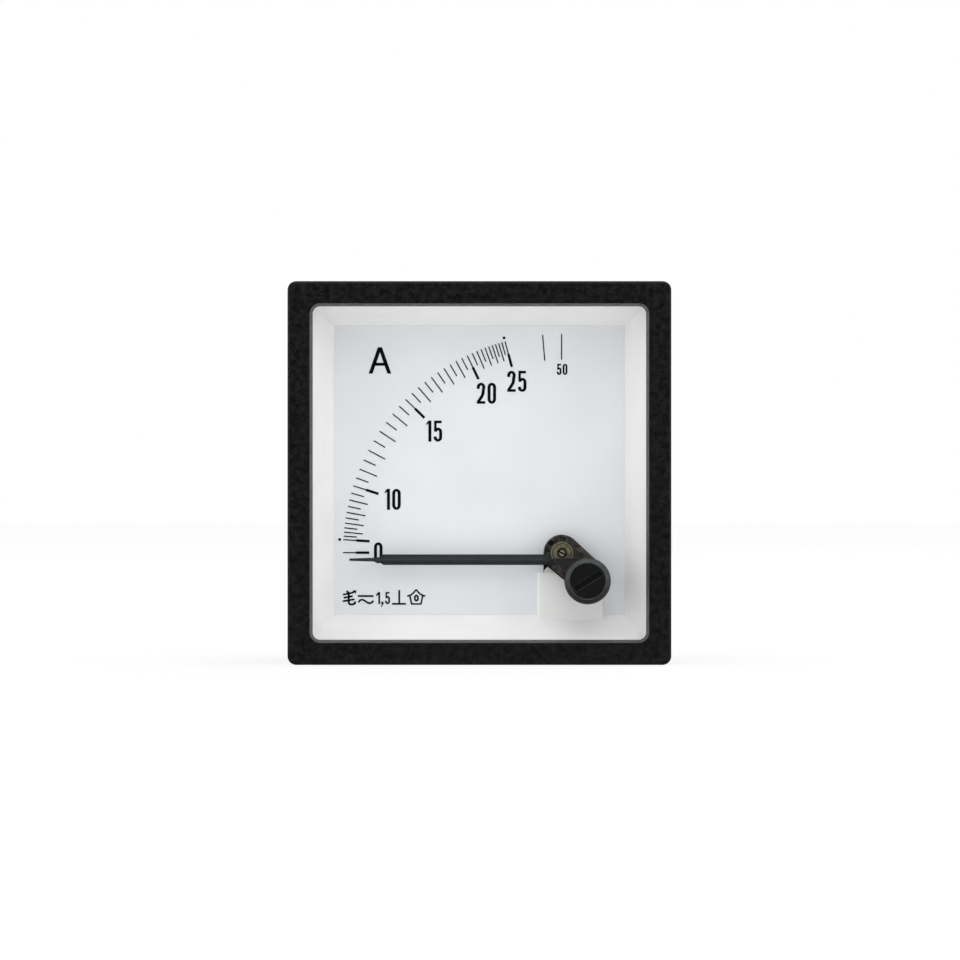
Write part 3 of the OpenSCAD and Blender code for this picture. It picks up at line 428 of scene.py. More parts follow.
def adjuster_moulding(dark, rim, centre, r, well_floor):
    """Black plastic of the screwdriver adjuster: polished in its well, with painted shade in its slot
    and patchy painted highlights on the edges in its well, a patchy grey painted sheen on the rim
    round it that is lighter towards the top, and painted shade between the ridges and painted
    highlights on their tips."""
    f = Finish("adjuster_moulding", dark, 0.3, specular=0.8)
    away = f.from_axis(centre)
    on_rim = f.band(away, r * 0.765, r * 0.95, 0.05 * MM)
    rubbed = f.grain(0.7 * MM, 4.0, 0.7)
    # Painted light: the rim's patchy grey sheen grows lighter towards the top, as if lit from above.
    lit_from_above = f.ranged(f.along("Z"), 0.0, 1.3, centre[2] - r, centre[2] + r * 0.2)
    f.tint(f.together(on_rim, f.together(lit_from_above, f.ranged(rubbed, 0.35, 1.0))), dark, rim, 0.0, 1.0)
    # Painted shade: deeper than the well's floor, in the slot, the black gets darker still.
    slot_shade = f.ranged(f.along("Y"), 0.0, 1.0, well_floor + 0.05 * MM, well_floor + 0.25 * MM)
    inside = f.ranged(away, 1.0, 0.0, r * 0.75, r * 0.76)
    f.coat(f.together(slot_shade, inside), toned(dark, 0.3))
    # Painted highlight, patchy, on the edges in the adjuster's well and slot.
    patchy_edge_highlight = f.together(f.together(f.edges(0.1 * MM, 0.2), inside), f.ranged(rubbed, 0.35, 0.9))
    f.coat(patchy_edge_highlight, toned(rim, 1.5))
    knurl = f.ridges(centre, KNURL)
    outside = f.ranged(away, 0.0, 1.0, r * 0.9, r * 0.93)
    # Painted shade between the knurl's ridges, and painted highlights on their tips.
    f.coat(f.together(outside, f.ranged(knurl, 1.0, 0.0, -0.3, 0.3)), toned(dark, 0.25))
    f.coat(f.together(outside, f.ranged(knurl, 0.0, 1.0, -0.1, 0.5)), toned(rim, 1.1))
    f.join(f.between(on_rim, f.ranged(rubbed, 0.16, 0.3), 0.3), f.bsdf.inputs["Roughness"])
    f.soften(0.12 * MM)
    f.relief(f.grain(0.12 * MM, 2.0), 0.004 * MM)
    return f.mat


def white_moulding(rgb):
    """Satin white plastic with a faint flow pattern."""
    f = Finish("white_moulding", rgb, 0.42, specular=0.4)
    flow = f.grain(9 * MM, 3.0, stretch=(1.0, 2.5, 1.0))
    f.tint(flow, toned(rgb, 0.988), toned(rgb, 1.008))
    f.shine(f.grain(1.2 * MM), 0.36, 0.48)
    f.soften(0.12 * MM)
    f.relief(f.grain(0.25 * MM, 2.0), 0.002 * MM)
    return f.mat


def dial_lacquer(rgb):
    """Matt white lacquer sprayed on sheet metal: faint clouds and a very fine orange peel."""
    f = Finish("dial_lacquer", rgb, 0.62, specular=0.25)
    f.tint(f.grain(14 * MM, 2.0), toned(rgb, 0.985), toned(rgb, 1.004))
    f.shine(f.grain(0.5 * MM), 0.55, 0.7)
    f.relief(f.grain(0.16 * MM, 2.0), 0.002 * MM)
    return f.mat


def printing_ink(rgb):
    """Screen-printed black ink: thinner in places, with a slight sheen."""
    f = Finish("printing_ink", rgb, 0.5, specular=0.12)
    f.tint(f.grain(0.35 * MM), toned(rgb, 0.8), toned(rgb, 1.35))
    f.shine(f.grain(0.2 * MM), 0.42, 0.6)
    return f.mat


def clear_pane(rgb):
    """Clear window: smooth glass that lets lamps and soft light straight through, faintly
    smeared."""
    f = Finish("clear_pane", rgb, 0.0)
    f.set("Transmission Weight", 1.0)
    f.set("IOR", 1.2)
    f.relief(f.grain(6 * MM, 1.0), 0.003 * MM, 0.35)
    path = f.node("ShaderNodeLightPath")
    through = f.node("ShaderNodeBsdfTransparent")
    mix = f.node("ShaderNodeMixShader")
    f.join(f.together(path.outputs["Is Shadow Ray"], path.outputs["Is Diffuse Ray"], "MAXIMUM"),
           mix.inputs["Fac"])
    f.join(f.bsdf.outputs[0], mix.inputs[1])
    f.join(through.outputs[0], mix.inputs[2])
    f.join(mix.outputs[0], f.out.inputs["Surface"])
    return f.mat


def satin_paint(name, rgb, low, high, spread=0.12, grain=0.3 * MM, specular=0.35):
    """Thin paint or lacquer, a little uneven in tone and sheen."""
    f = Finish(name, rgb, low, specular=specular)
    f.tint(f.grain(grain * 4), toned(rgb, 1.0 - spread), toned(rgb, 1.0 + spread))
    f.shine(f.grain(grain), low, high)
    f.soften(0.05 * MM)
    f.relief(f.grain(grain * 0.5, 2.0), 0.004 * MM)
    return f.mat


def pointer_paint(rgb, fold):
    """Dark satin paint, with a painted highlight along the fold, at height fold, and painted shade at
    both edges of the bar."""
    f = Finish("pointer_paint", rgb, 0.55, specular=0.3)
    apart = f.node("ShaderNodeMath", operation="SUBTRACT")
    apart.inputs[1].default_value = fold
    f.join(f.along("Z"), apart.inputs[0])
    away = f.node("ShaderNodeMath", operation="ABSOLUTE")
    f.join(apart.outputs[0], away.inputs[0])
    f.tint(f.grain(1.2 * MM), toned(rgb, 0.92), toned(rgb, 1.06))
    # Painted shade towards both edges of the bar.
    f.coat(f.ranged(away.outputs[0], 0.0, 0.55, 0.75 * MM, 1.0 * MM), toned(rgb, 0.6))
    # Painted highlight along the fold.
    f.coat(f.ranged(away.outputs[0], 0.8, 0.0, 0.08 * MM, 0.32 * MM), toned(rgb, 1.35))
    f.shine(f.grain(0.3 * MM), 0.5, 0.62)
    f.soften(0.05 * MM)
    f.relief(f.grain(0.15 * MM, 2.0), 0.004 * MM)
    return f.mat


def lever_lacquer(rgb, front):
    """Dark lacquer on the sheet lever, with patchy painted highlights along its edges, and painted
    shade, black, deeper than front."""
    f = Finish("lever_lacquer", rgb, 0.35, specular=0.5)
    f.tint(f.grain(1.2 * MM), toned(rgb, 0.75), toned(rgb, 1.15))
    # Painted highlight, patchy, along the lever's edges.
    patchy_edge_highlight = f.ranged(f.grain(0.9 * MM), 0.3, 1.0, 0.35, 0.6)
    f.coat(f.together(f.edges(0.28 * MM, 0.1), patchy_edge_highlight), toned(rgb, 2.4))
    # Painted shade: black deeper than front.
    f.coat(f.ranged(f.along("Y"), 0.0, 1.0, front, front + 0.5 * MM), toned(rgb, 0.12))
    f.shine(f.grain(0.3 * MM), 0.26, 0.42)
    f.soften(0.08 * MM)
    return f.mat


def frame_moulding(name, rgb, front):
    """Black moulding of the movement's frame, blotchy from dark to pale, with patchy painted
    highlights along its edges, and painted shade, black, in its windows, deeper than front."""
    f = Finish(name, rgb, 0.4, specular=0.5)
    f.tint(f.grain(1.1 * MM, 4.0, 0.65), toned(rgb, 0.5), toned(rgb, 1.3), 0.4, 0.6)
    # Painted highlight, patchy, along the frame's edges.
    patchy_edge_highlight = f.ranged(f.grain(0.8 * MM), 0.0, 0.9, 0.4, 0.6)
    f.coat(f.together(f.edges(0.1 * MM), patchy_edge_highlight), toned(rgb, 1.9))
    # Painted shade: black in the windows, deeper than front.
    f.coat(f.ranged(f.along("Y"), 0.0, 1.0, front + 0.1 * MM, front + 0.25 * MM), toned(rgb, 0.15))
    f.shine(f.grain(0.5 * MM), 0.28, 0.5)
    f.soften(0.08 * MM)
    f.relief(f.grain(0.15 * MM, 2.0), 0.005 * MM)
    return f.mat


def rolled_metal(name, rgb, low, high, along="x", spread=0.06):
    """Sheet or drawn metal: fine streaks along one direction."""
    f = Finish(name, rgb, low, metallic=1.0)
    stretch = {"x": (0.05, 1.0, 1.0), "y": (1.0, 0.05, 1.0), "z": (1.0, 1.0, 0.05)}[along]
    streaks = f.grain(0.12 * MM, 3.0, stretch=stretch)
    f.tint(f.grain(2.5 * MM), toned(rgb, 1.0 - spread), toned(rgb, 1.0 + spread))
    f.shine(streaks, low, high)
    f.soften(0.06 * MM)
    f.relief(streaks, 0.002 * MM)
    return f.mat


def turned_metal(name, rgb, low, high, centre, spread=0.07):
    """Metal from the lathe: fine rings round the piece's own axis, and a little tarnish."""
    f = Finish(name, rgb, low, metallic=1.0)
    rings = f.turning(centre, 0.07 * MM)
    f.tint(f.grain(0.9 * MM), toned(rgb, 1.0 - spread), toned(rgb, 1.0 + spread))
    f.shine(f.grain(0.3 * MM), low, high)
    f.soften(0.06 * MM)
    f.relief(rings, 0.0025 * MM)
    return f.mat


def bush_brass(rgb, centre, r):
    """Aged turned brass, with painted shade in the cone round the screw and in the groove, and a
    painted highlight on the rim outside it."""
    f = Finish("bush_brass", rgb, 0.45, metallic=0.8)
    away = f.from_axis(centre)
    f.tint(f.grain(0.9 * MM), toned(rgb, 0.8), toned(rgb, 1.15))
    # Painted shade in the cone round the screw.
    f.coat(f.ranged(away, 1.0, 0.0, r * 0.41, r * 0.5), toned(rgb, 0.1))
    # Painted shade in the groove.
    f.coat(f.band(away, r * 0.82, r * 0.89, r * 0.015), toned(rgb, 0.4))
    # Painted highlight on the rim.
    f.coat(f.ranged(away, 0.0, 1.0, r * 0.89, r * 0.92), toned(rgb, 1.15))
    f.shine(f.grain(0.3 * MM), 0.36, 0.52)
    f.soften(0.08 * MM)
    f.relief(f.turning(centre, 0.07 * MM), 0.0025 * MM)
    return f.mat


def slotted_brass(rgb, centre, face):
    """Bright turned brass of a screw that faces forward, with painted shade, black, in its slot,
    deeper than face, and on its bevel."""
    f = Finish("jewel_brass", rgb, 0.45, metallic=1.0)
    f.tint(f.grain(0.5 * MM), toned(rgb, 0.85), toned(rgb, 1.1))
    # Painted shade on the bevel round the head.
    f.coat(f.ranged(f.from_axis(centre), 0.0, 1.0, 0.52 * MM, 0.66 * MM), toned(rgb, 0.16))
    # Painted shade in the slot.
    f.coat(f.ranged(f.along("Y"), 0.0, 1.0, face + 0.05 * MM, face + 0.12 * MM), toned(rgb, 0.12))
    f.shine(f.grain(0.3 * MM), 0.42, 0.6)
    f.soften(0.1 * MM)
    f.relief(f.turning(centre, 0.07 * MM), 0.002 * MM)
    return f.mat


def enamelled_wire(rgb):
    """Copper wire under clear enamel, darker where the enamel is thick."""
    f = Finish("enamelled_wire", rgb, 0.3, metallic=0.85)
    f.set("Coat Weight", 0.6)
    f.set("Coat Roughness", 0.08)
    f.tint(f.grain(1.5 * MM), toned(rgb, 0.82), toned(rgb, 1.08))
    f.shine(f.grain(0.4 * MM), 0.26, 0.4)
    return f.mat


def dress(node, material):
    """Gives a CAD node its finish in every material slot."""
    mesh = NODES[node].data
    if not mesh.materials:
        mesh.materials.append(material)
    for i in range(len(mesh.materials)):
        mesh.materials[i] = material


def middle(node):
    """Centre of a CAD node's box."""
    low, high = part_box(node)
    return [(a + b) / 2 for a, b in zip(low, high)]


# ------------------------------------------------------------------ surfaces


def wall_faces(rows, columns, closed=False):
    """Quads between neighbouring rows of a grid of points, each row being a ring."""
    r = np.arange(rows if closed else rows - 1)
    c = np.arange(columns)
    a, b = np.meshgrid(r, c, indexing="ij")
    nr, nc = (a + 1) % rows, (b + 1) % columns
    quads = np.stack([a * columns + b, nr * columns + b, nr * columns + nc, a * columns + nc], -1)
    return quads.reshape(-1, 4)


def shell(grid, closed=False):
    """A closed skin from rings of points (rows, columns, 3): quads between the rings and, if the
    rings don't close on themselves, a flat cap on the first and the last. Faces are turned
    outwards if the skin's signed volume is negative."""
    rows, columns = grid.shape[:2]
    points = grid.reshape(-1, 3)
    quads = wall_faces(rows, columns, closed)
    caps = []
    if not closed:
        caps = [np.arange(columns)[::-1], np.arange(columns) + (rows - 1) * columns]
    fans = [np.stack([np.full(columns - 2, cap[0]), cap[1:-1], cap[2:]], -1) for cap in caps]
    tris = np.vstack([quads[:, [0, 1, 2]], quads[:, [0, 2, 3]], *fans])
    p = points[tris] - points.mean(0)
    volume = np.einsum("ij,ij->i", p[:, 0], np.cross(p[:, 1], p[:, 2])).sum()
    turn = slice(None, None, -1 if volume < 0 else 1)
    return points, [f[turn].tolist() for f in (*quads, *caps)]


def piece(name, skins, material, body=CASE, smooth=None):
    """One mesh object from several closed skins, riding on a body."""
    points, faces, first = [], [], 0
    for p, f in skins:
        points.append(p)
        faces += [[i + first for i in face] for face in f]
        first += len(p)
    mesh = bpy.data.meshes.new(name)
    mesh.from_pydata(np.vstack(points).tolist(), [], faces)
    mesh.materials.append(material)
    mesh.validate()
    obj = bpy.data.objects.new(name, mesh)
    bpy.context.scene.collection.objects.link(obj)
    if smooth is not None:
        mesh.shade_smooth()
        mesh.set_sharp_from_angle(angle=math.radians(smooth))
    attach(obj, body)
    return obj


# --------------------------------------------------------------------- glyphs


def bow(x, z, rx, rz, a0, a1, n=13):
    """Points of part of an ellipse: centre plus (rx cos a, rz sin a), a in degrees."""
    a = np.radians(np.linspace(a0, a1, n))
    return np.column_stack([x + rx * np.cos(a), z + rz * np.sin(a)])


def run(*points):
    """Straight runs through points."""
    return np.array(points, float)


def flowing(points, n=8):
    """A smooth line through points: each coordinate is a Catmull-Rom cubic of the two points on
    either side."""
    p = np.vstack([2 * points[0] - points[1], points, 2 * points[-1] - points[-2]])
    t = np.linspace(0, 1, n, endpoint=False)[:, None, None]
    a, b, c, d = p[:-3], p[1:-2], p[2:-1], p[3:]
    curve = 0.5 * (2 * b + (c - a) * t + (2 * a - 5 * b + 4 * c - d) * t**2
                   + (3 * b - a - 3 * c + d) * t**3)
    return np.vstack([curve.transpose(1, 0, 2).reshape(-1, 2), points[-1]])


def stroke(path, pen, closed=False):
    """A pen drawn along a path: at each point the two edges lie half the pen away along the
    line's normal, wide for upright runs and narrow for level ones, with corners mitred."""
    pen = np.broadcast_to(np.asarray(pen, float), (2,)) / 2
    if closed:
        before, after = np.roll(path, 1, 0), np.roll(path, -1, 0)
    else:
        before, after = np.vstack([path[:1], path[:-1]]), np.vstack([path[1:], path[-1:]])

    def normals(step):
        size = np.linalg.norm(step, axis=1, keepdims=True)
        return np.column_stack([-step[:, 1], step[:, 0]]) / np.maximum(size, 1e-12)

    n = normals(path - before) + normals(after - path)
    size = np.linalg.norm(n, axis=1, keepdims=True)
    ends = np.ones(len(path), bool) if closed else np.r_[False, np.ones(len(path) - 2, bool), False]
    mitre = np.where(ends[:, None], 2.0 / np.maximum(size, 0.8), 1.0)
    offset = n / size * mitre * pen
    return np.stack([path + offset, path - offset], 1), closed


def plate(*corners):
    """A flat figure with straight sides, given as its two edges from end to end."""
    c = np.array(corners, float)
    half = len(c) // 2
    return np.stack([c[:half], c[half:][::-1]], 1), False


def printed(figure, x, z):
    """A figure given in millimetres as pairs of edge points, moved to (x, z) and made a thin solid
    from the ink's face to the dial's."""
    edges, closed = figure
    left, right = edges[:, 0] * MM + [x, z], edges[:, 1] * MM + [x, z]
    ring = []
    for edge, y in ((left, INK_FRONT), (right, INK_FRONT), (right, DIAL_FRONT), (left, DIAL_FRONT)):
        ring.append(np.column_stack([edge[:, 0], np.full(len(edge), y), edge[:, 1]]))
    return shell(np.stack(ring, 1), closed)


def print_on_dial(name, figures):
    """One printed piece from several figures, each with its place."""
    skins = [printed(*f) for f in figures]
    piece(name, skins, bpy.data.materials["printing_ink"])


def nought(w, h, pen):
    """A tall ring: two straight sides joined by half ellipses."""
    rx, rz = (w - pen[0]) / 2, (w - pen[0]) * 0.62
    top, foot = h - pen[1] / 2 - rz, pen[1] / 2 + rz
    path = np.vstack([bow(w / 2, top, rx, rz, 0, 180, 17), bow(w / 2, foot, rx, rz, 180, 360, 17)])
    return [stroke(path, pen, closed=True)]


def one(w, h, pen):
    """An upright with a flag that falls to the left."""
    stem = plate((w - pen[0], 0), (w - pen[0], h), (w, h), (w, 0))
    flag = plate((w - pen[0] - 0.42, h - 0.86), (w - pen[0] - 0.42, h - 0.52),
                 (w - pen[0] + 0.02, h), (w - pen[0] + 0.02, h - 0.52))
    return [stem, flag]


def two(w, h, pen):
    """A hook over the top, a slant to the lower left and a level foot."""
    rx, rz = (w - pen[0]) / 2, (w - pen[0]) * 0.6
    top = h - pen[1] / 2 - rz
    hook = bow(w / 2, top, rx, rz, 188, -18, 19)
    slant = flowing(run((w - pen[0] / 2 - 0.06, top - 0.22), (w * 0.68, h * 0.43),
                        (w * 0.3, h * 0.17), (pen[0] / 2 + 0.01, pen[1] * 0.7)))
    foot = plate((0, 0), (0, pen[1]), (w - 0.02, pen[1]), (w - 0.02, 0))
    start = run((pen[0] / 2, top - 0.28))
    return [stroke(np.vstack([start, hook, slant[1:]]), pen), foot]


def five(w, h, pen):
    """A level top, a short upright and a round bowl."""
    rx, rz = (w - pen[0]) / 2, (w - pen[0]) * 0.55
    crown = h * 0.665 - pen[1] / 2 - rz
    foot = pen[1] / 2 + rz
    left = 0.1
    bar = plate((left, h - pen[1]), (left, h), (w - 0.1, h), (w - 0.1, h - pen[1]))
    inner = left + pen[0] * 0.8
    side = plate((left, h * 0.475), (left, h), (inner, h), (inner, h * 0.475))
    bowl = np.vstack([
        run((left + pen[0] * 0.45, h * 0.5)), bow(w / 2 + 0.04, crown, rx - 0.04, rz, 140, 0, 15),
        bow(w / 2, foot, rx, rz, 0, -172, 17), run((pen[0] / 2, foot + 0.14)),
    ])
    return [bar, side, stroke(bowl, pen)]


def comma(pen):
    """A square dot with a tail that leans to the left."""
    return [plate((0.1, 0), (0.1, pen * 1.3), (0.1 + pen * 1.2, pen * 1.3), (0.1 + pen * 1.2, 0)),
            plate((0.1 + pen * 0.5, 0), (0.1 + pen * 1.2, 0), (0.1 + pen * 0.1, -pen * 1.7),
                  (0.1 - pen * 0.3, -pen * 1.5))]


def unit_letter(h, w, pen):
    """A capital A: two slanted legs cut level at foot and crown, and a bar."""
    m = w / 2
    t = pen * 1.08
    legs = [plate((0, 0), (m - t * 0.54, h), (m + t * 0.46, h), (t, 0)),
            plate((w - t, 0), (m - t * 0.46, h), (m + t * 0.54, h), (w, 0))]
    return legs + [plate((w * 0.2, h * 0.3), (w * 0.2 + 0.06, h * 0.3 + pen * 0.82),
                         (w * 0.8 - 0.06, h * 0.3 + pen * 0.82), (w * 0.8, h * 0.3))]


NUMERALS = {"0": nought, "1": one, "2": two, "5": five}


def number(text, x, z, width, height, pen, gap=0.42):
    """Numerals side by side from x, each with its own width: a one is narrower."""
    figures = []
    for c in text:
        w = width * (0.62 if c == "1" else 1.0)
        figures += [(f, x, z) for f in NUMERALS[c](w, height, pen)]
        x += (w + gap) * MM
    return figures


# ------------------------------------------------------------------ operators


class METER_OT_mouldings(bpy.types.Operator):
    """Gives the bezel and the case their textured black plastic."""

    bl_idname = "meter.mouldings"
    bl_label = "Bezel and case"

    def execute(self, context):
        sizes, colours = context.scene.meter_sizes, context.scene.meter_colours
        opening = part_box("window_glass")[1][0] - 1.25 * MM
        dress("bezel", black_moulding("bezel_moulding", colours.bezel, sizes, 0.5 * MM, 0.25,
                                      lip=opening, lip_sheen_rgb=colours.lip))
        dress("case", black_moulding("case_moulding", colours.case, sizes, 0.2 * MM, 0.4,
                                     mottle=0.35))
        return {"FINISHED"}


class METER_OT_window(bpy.types.Operator):
    """Makes the window clear."""

    bl_idname = "meter.window"
    bl_label = "Window"

    def execute(self, context):
        dress("window_glass", clear_pane(context.scene.meter_colours.glass))
        return {"FINISHED"}


class METER_OT_dial(bpy.types.Operator):
    """Finishes the white surround, the dial plate and the scale's marks."""

    bl_idname = "meter.dial"
    bl_label = "Surround and dial"

    def execute(self, context):
        colours = context.scene.meter_colours
        dress("surround", white_moulding(colours.surround))
        dress("dial_plate", dial_lacquer(colours.dial))
        dress("scale_marks", printing_ink(colours.ink))
        return {"FINISHED"}


class METER_OT_lettering(bpy.types.Operator):
    """Prints the numbers along the scale and the unit's letter."""

    bl_idname = "meter.lettering"
    bl_label = "Numbers and unit"

    def execute(self, context):
        sizes = context.scene.meter_sizes
        w, h = sizes.numeral_width / MM, sizes.numeral_height / MM
        pen = (sizes.numeral_stroke / MM, sizes.numeral_stroke / MM * 0.86)
        for text, (x, z) in NUMBER_PLACES.items():
            print_on_dial(f"numeral_{text}", number(text, x * MM, z * MM, w, h, pen))
        x, z = OVERLOAD_PLACE
        small = number("50", x * MM, z * MM, 0.9, 2.08, (0.34, 0.3), 0.22)
        print_on_dial("numeral_50", small)
        x, z = UNIT_PLACE
        letter = unit_letter(sizes.unit_height / MM, 4.3, 0.68)
        print_on_dial("unit_letter", [(f, x * MM, z * MM) for f in letter])
        return {"FINISHED"}


class METER_OT_symbols(bpy.types.Operator):
    """Prints the row of small instrument symbols: moving iron, both kinds of current, accuracy
    class, upright mounting and test voltage."""

    bl_idname = "meter.symbols"
    bl_label = "Instrument symbols"

    def execute(self, context):
        pen = context.scene.meter_sizes.symbol_stroke / MM
        fine = pen * 0.9
        moving_iron = [
            stroke(flowing(run((-25.92, -23.06), (-24.94, -22.89), (-24.11, -22.68),
                               (-23.72, -22.45))), pen),
            stroke(run((-25.77, -23.68), (-24.05, -23.34)), pen),
            stroke(run((-25.95, -24.32), (-23.71, -23.96)), pen),
            stroke(flowing(run((-25.26, -22.42), (-24.95, -22.60), (-24.81, -23.0), (-24.80, -23.7),
                               (-24.80, -24.5), (-24.62, -24.86), (-24.2, -24.92), (-23.72, -24.78),
                               (-23.53, -24.36))), pen * 1.1),
            plate((-24.08, -22.30), (-23.34, -22.22), (-23.50, -22.95), (-23.78, -22.58)),
        ]
        current = [
            stroke(run((-23.08, -23.34), (-20.1, -23.34)), pen),
            stroke(flowing(run((-22.96, -24.56), (-22.68, -24.17), (-22.27, -24.03), (-21.79, -24.22),
                               (-21.32, -24.53), (-20.86, -24.70), (-20.43, -24.56),
                               (-20.13, -24.2))), pen),
        ]
        upright = [stroke(run((-15.22, -22.18), (-15.22, -24.8)), pen),
                   stroke(run((-16.58, -24.82), (-13.96, -24.82)), pen)]
        voltage = [
            stroke(flowing(run((-13.72, -23.33), (-13.1, -23.16), (-12.5, -22.72),
                               (-12.0, -22.1))), fine),
            stroke(flowing(run((-12.0, -22.1), (-11.48, -22.72), (-10.88, -23.16),
                               (-10.26, -23.33))), fine),
            stroke(run((-13.2, -23.3), (-12.86, -24.84), (-11.1, -24.84), (-10.76, -23.3)), fine),
        ] + [(f[0] + [-12.42, -24.37], f[1]) for f in nought(0.92, 1.3, (pen, pen))]
        figures = {"moving_iron_symbol": moving_iron, "current_symbol": current,
                   "upright_symbol": upright, "test_voltage_symbol": voltage}
        for name, strokes in figures.items():
            print_on_dial(name, [(f, 0.0, 0.0) for f in strokes])
        thin = (pen, fine)
        foot = CLASS_FOOT * MM
        digits = number("1", -19.42 * MM, foot, 0.92, 2.3, thin)
        digits += [(f, -18.72 * MM, foot) for f in comma(pen)]
        digits += number("5", -17.92 * MM, foot, 0.95, 2.3, thin)
        print_on_dial("accuracy_class", digits)
        return {"FINISHED"}


class METER_OT_movement(bpy.types.Operator):
    """Finishes the movement's base, its front frame, bearings, screws and damping cover."""

    bl_idname = "meter.movement"
    bl_label = "Movement frame"

    def execute(self, context):
        c = context.scene.meter_colours
        dress("movement_base", satin_paint("base_moulding", c.base, 0.4, 0.55, 0.2))
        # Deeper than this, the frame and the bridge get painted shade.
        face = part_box("front_frame")[1][1] - 1.15 * MM
        dress("front_frame", frame_moulding("frame_moulding", c.movement, face))
        dress("front_bridge", frame_moulding("bridge_moulding", toned(c.movement, 0.62), face))
        zinc = rolled_metal("zinc_plate", c.zinc, 0.28, 0.45, "y")
        for node in ("movement_screws", "frame_screws"):
            dress(node, zinc)
        dress("damping_cover", rolled_metal("cover_sheet", c.aluminium, 0.3, 0.5, "x"))
        axis = middle("front_bush")
        low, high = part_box("front_bush")
        dress("front_bush", bush_brass(c.dull_brass, axis, (high[0] - low[0]) / 2))
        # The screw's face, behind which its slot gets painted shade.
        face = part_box("front_jewel_screw")[0][1]
        dress("front_jewel_screw", slotted_brass(c.pale_brass, axis, face))
        dress("rear_jewel_screw", turned_metal("rear_jewel_brass", c.pale_brass, 0.3, 0.42, axis))
        return {"FINISHED"}


class METER_OT_coil(bpy.types.Operator):
    """Finishes the coil's former, its winding and leads, and the fixed iron."""

    bl_idname = "meter.coil"
    bl_label = "Coil"

    def execute(self, context):
        c = context.scene.meter_colours
        dress("coil_bobbin", satin_paint("nylon", c.nylon, 0.4, 0.6, 0.02))
        wire = enamelled_wire(c.copper)
        for node in ("coil_winding", "coil_lead_left", "coil_lead_right"):
            dress(node, wire)
        dress("fixed_iron", rolled_metal("annealed_iron", c.iron, 0.4, 0.6, "y"))
        return {"FINISHED"}


class METER_OT_moving_system(bpy.types.Operator):
    """Finishes the pointer, its spindle, balance, vane, iron and hairspring."""

    bl_idname = "meter.moving_system"
    bl_label = "Pointer and moving system"

    def execute(self, context):
        c = context.scene.meter_colours
        axis = middle("spindle")
        points = np.array([v.co for v in NODES["pointer"].data.vertices])
        fold = float(points[points[:, 0] < points[:, 0].min() + 0.01 * MM, 2].mean())
        dress("pointer", pointer_paint(c.pointer, fold))
        dress("spindle", rolled_metal("spindle_steel", c.steel, 0.16, 0.28, "y"))
        brass = turned_metal("balance_brass", c.brass, 0.25, 0.4, axis)
        for node in ("balance_cross", "balance_weights", "spring_collet"):
            dress(node, brass)
        dress("hairspring", rolled_metal("hairspring_bronze", c.bronze, 0.22, 0.36, "x"))
        dress("damping_vane", rolled_metal("vane_sheet", c.aluminium, 0.3, 0.48, "z"))
        dress("moving_iron", rolled_metal("moving_iron_sheet", c.iron, 0.38, 0.55, "y"))
        return {"FINISHED"}


class METER_OT_zero_adjuster(bpy.types.Operator):
    """Finishes the zero adjuster, its ring, the lever and the spring's stud."""

    bl_idname = "meter.zero_adjuster"
    bl_label = "Zero adjuster"

    def execute(self, context):
        c = context.scene.meter_colours
        low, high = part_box("zero_adjuster")
        r = (high[0] - low[0]) / 2
        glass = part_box("window_glass")[0][1]
        # The well's floor, below which the slot gets painted shade.
        well_floor = low[1] + (glass - low[1]) * 0.38
        dress("zero_adjuster", adjuster_moulding(
            c.adjuster, c.adjuster_rim_sheen, middle("zero_adjuster"), r, well_floor))
        dress("adjuster_ring", rolled_metal("spring_steel", c.steel, 0.25, 0.4, "x"))
        # Deeper than 1.2 mm behind its front the lever gets painted shade.
        dress("zero_lever", lever_lacquer(c.lever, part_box("zero_lever")[0][1] + 1.2 * MM))
        dress("spring_stud", rolled_metal("blued_steel", c.blued, 0.3, 0.42, "y"))
        return {"FINISHED"}


def thread(r, pitch, depth, y0, y1, chamfer, x, z, columns=40):
    """A screw thread: at angle a and level y the radius is r less depth times a triangle wave of
    y / pitch - a / turn, and no more than the end's chamfer leaves."""
    rows = int(math.ceil((y1 - y0) / pitch * 8)) + 1
    y = np.linspace(y0, y1, rows)[:, None]
    a = np.linspace(0, 2 * np.pi, columns, endpoint=False)[None, :]
    wave = np.abs(((y / pitch - a / (2 * np.pi)) % 1.0) * 2 - 1)
    radius = r - depth * np.clip(wave * 1.3 - 0.15, 0, 1)
    end = r - chamfer + np.minimum(y1 - y, chamfer)
    radius = np.minimum(radius, end)
    return np.stack([x + radius * np.cos(a), y + 0 * a, z + radius * np.sin(a)], -1)


def hexagon_head(flats, y0, y1, bevel, x, z):
    """A six-sided head: the radius is half the flats over the cosine of the angle from the
    nearest flat, and the corners are turned off towards the free face."""
    a = np.linspace(0, 2 * np.pi, 72, endpoint=False)[None, :]
    flat = flats / 2 / np.cos((a + np.pi / 6) % (np.pi / 3) - np.pi / 6)
    y = np.array([y0, y0 + bevel / 3, y0 + bevel * 2 / 3, y0 + bevel, y1])[:, None]
    limit = flats / 2 + (y - y0) * 2.0
    radius = np.minimum(flat, limit)
    return np.stack([x + radius * np.cos(a), y + 0 * a, z + radius * np.sin(a)], -1)


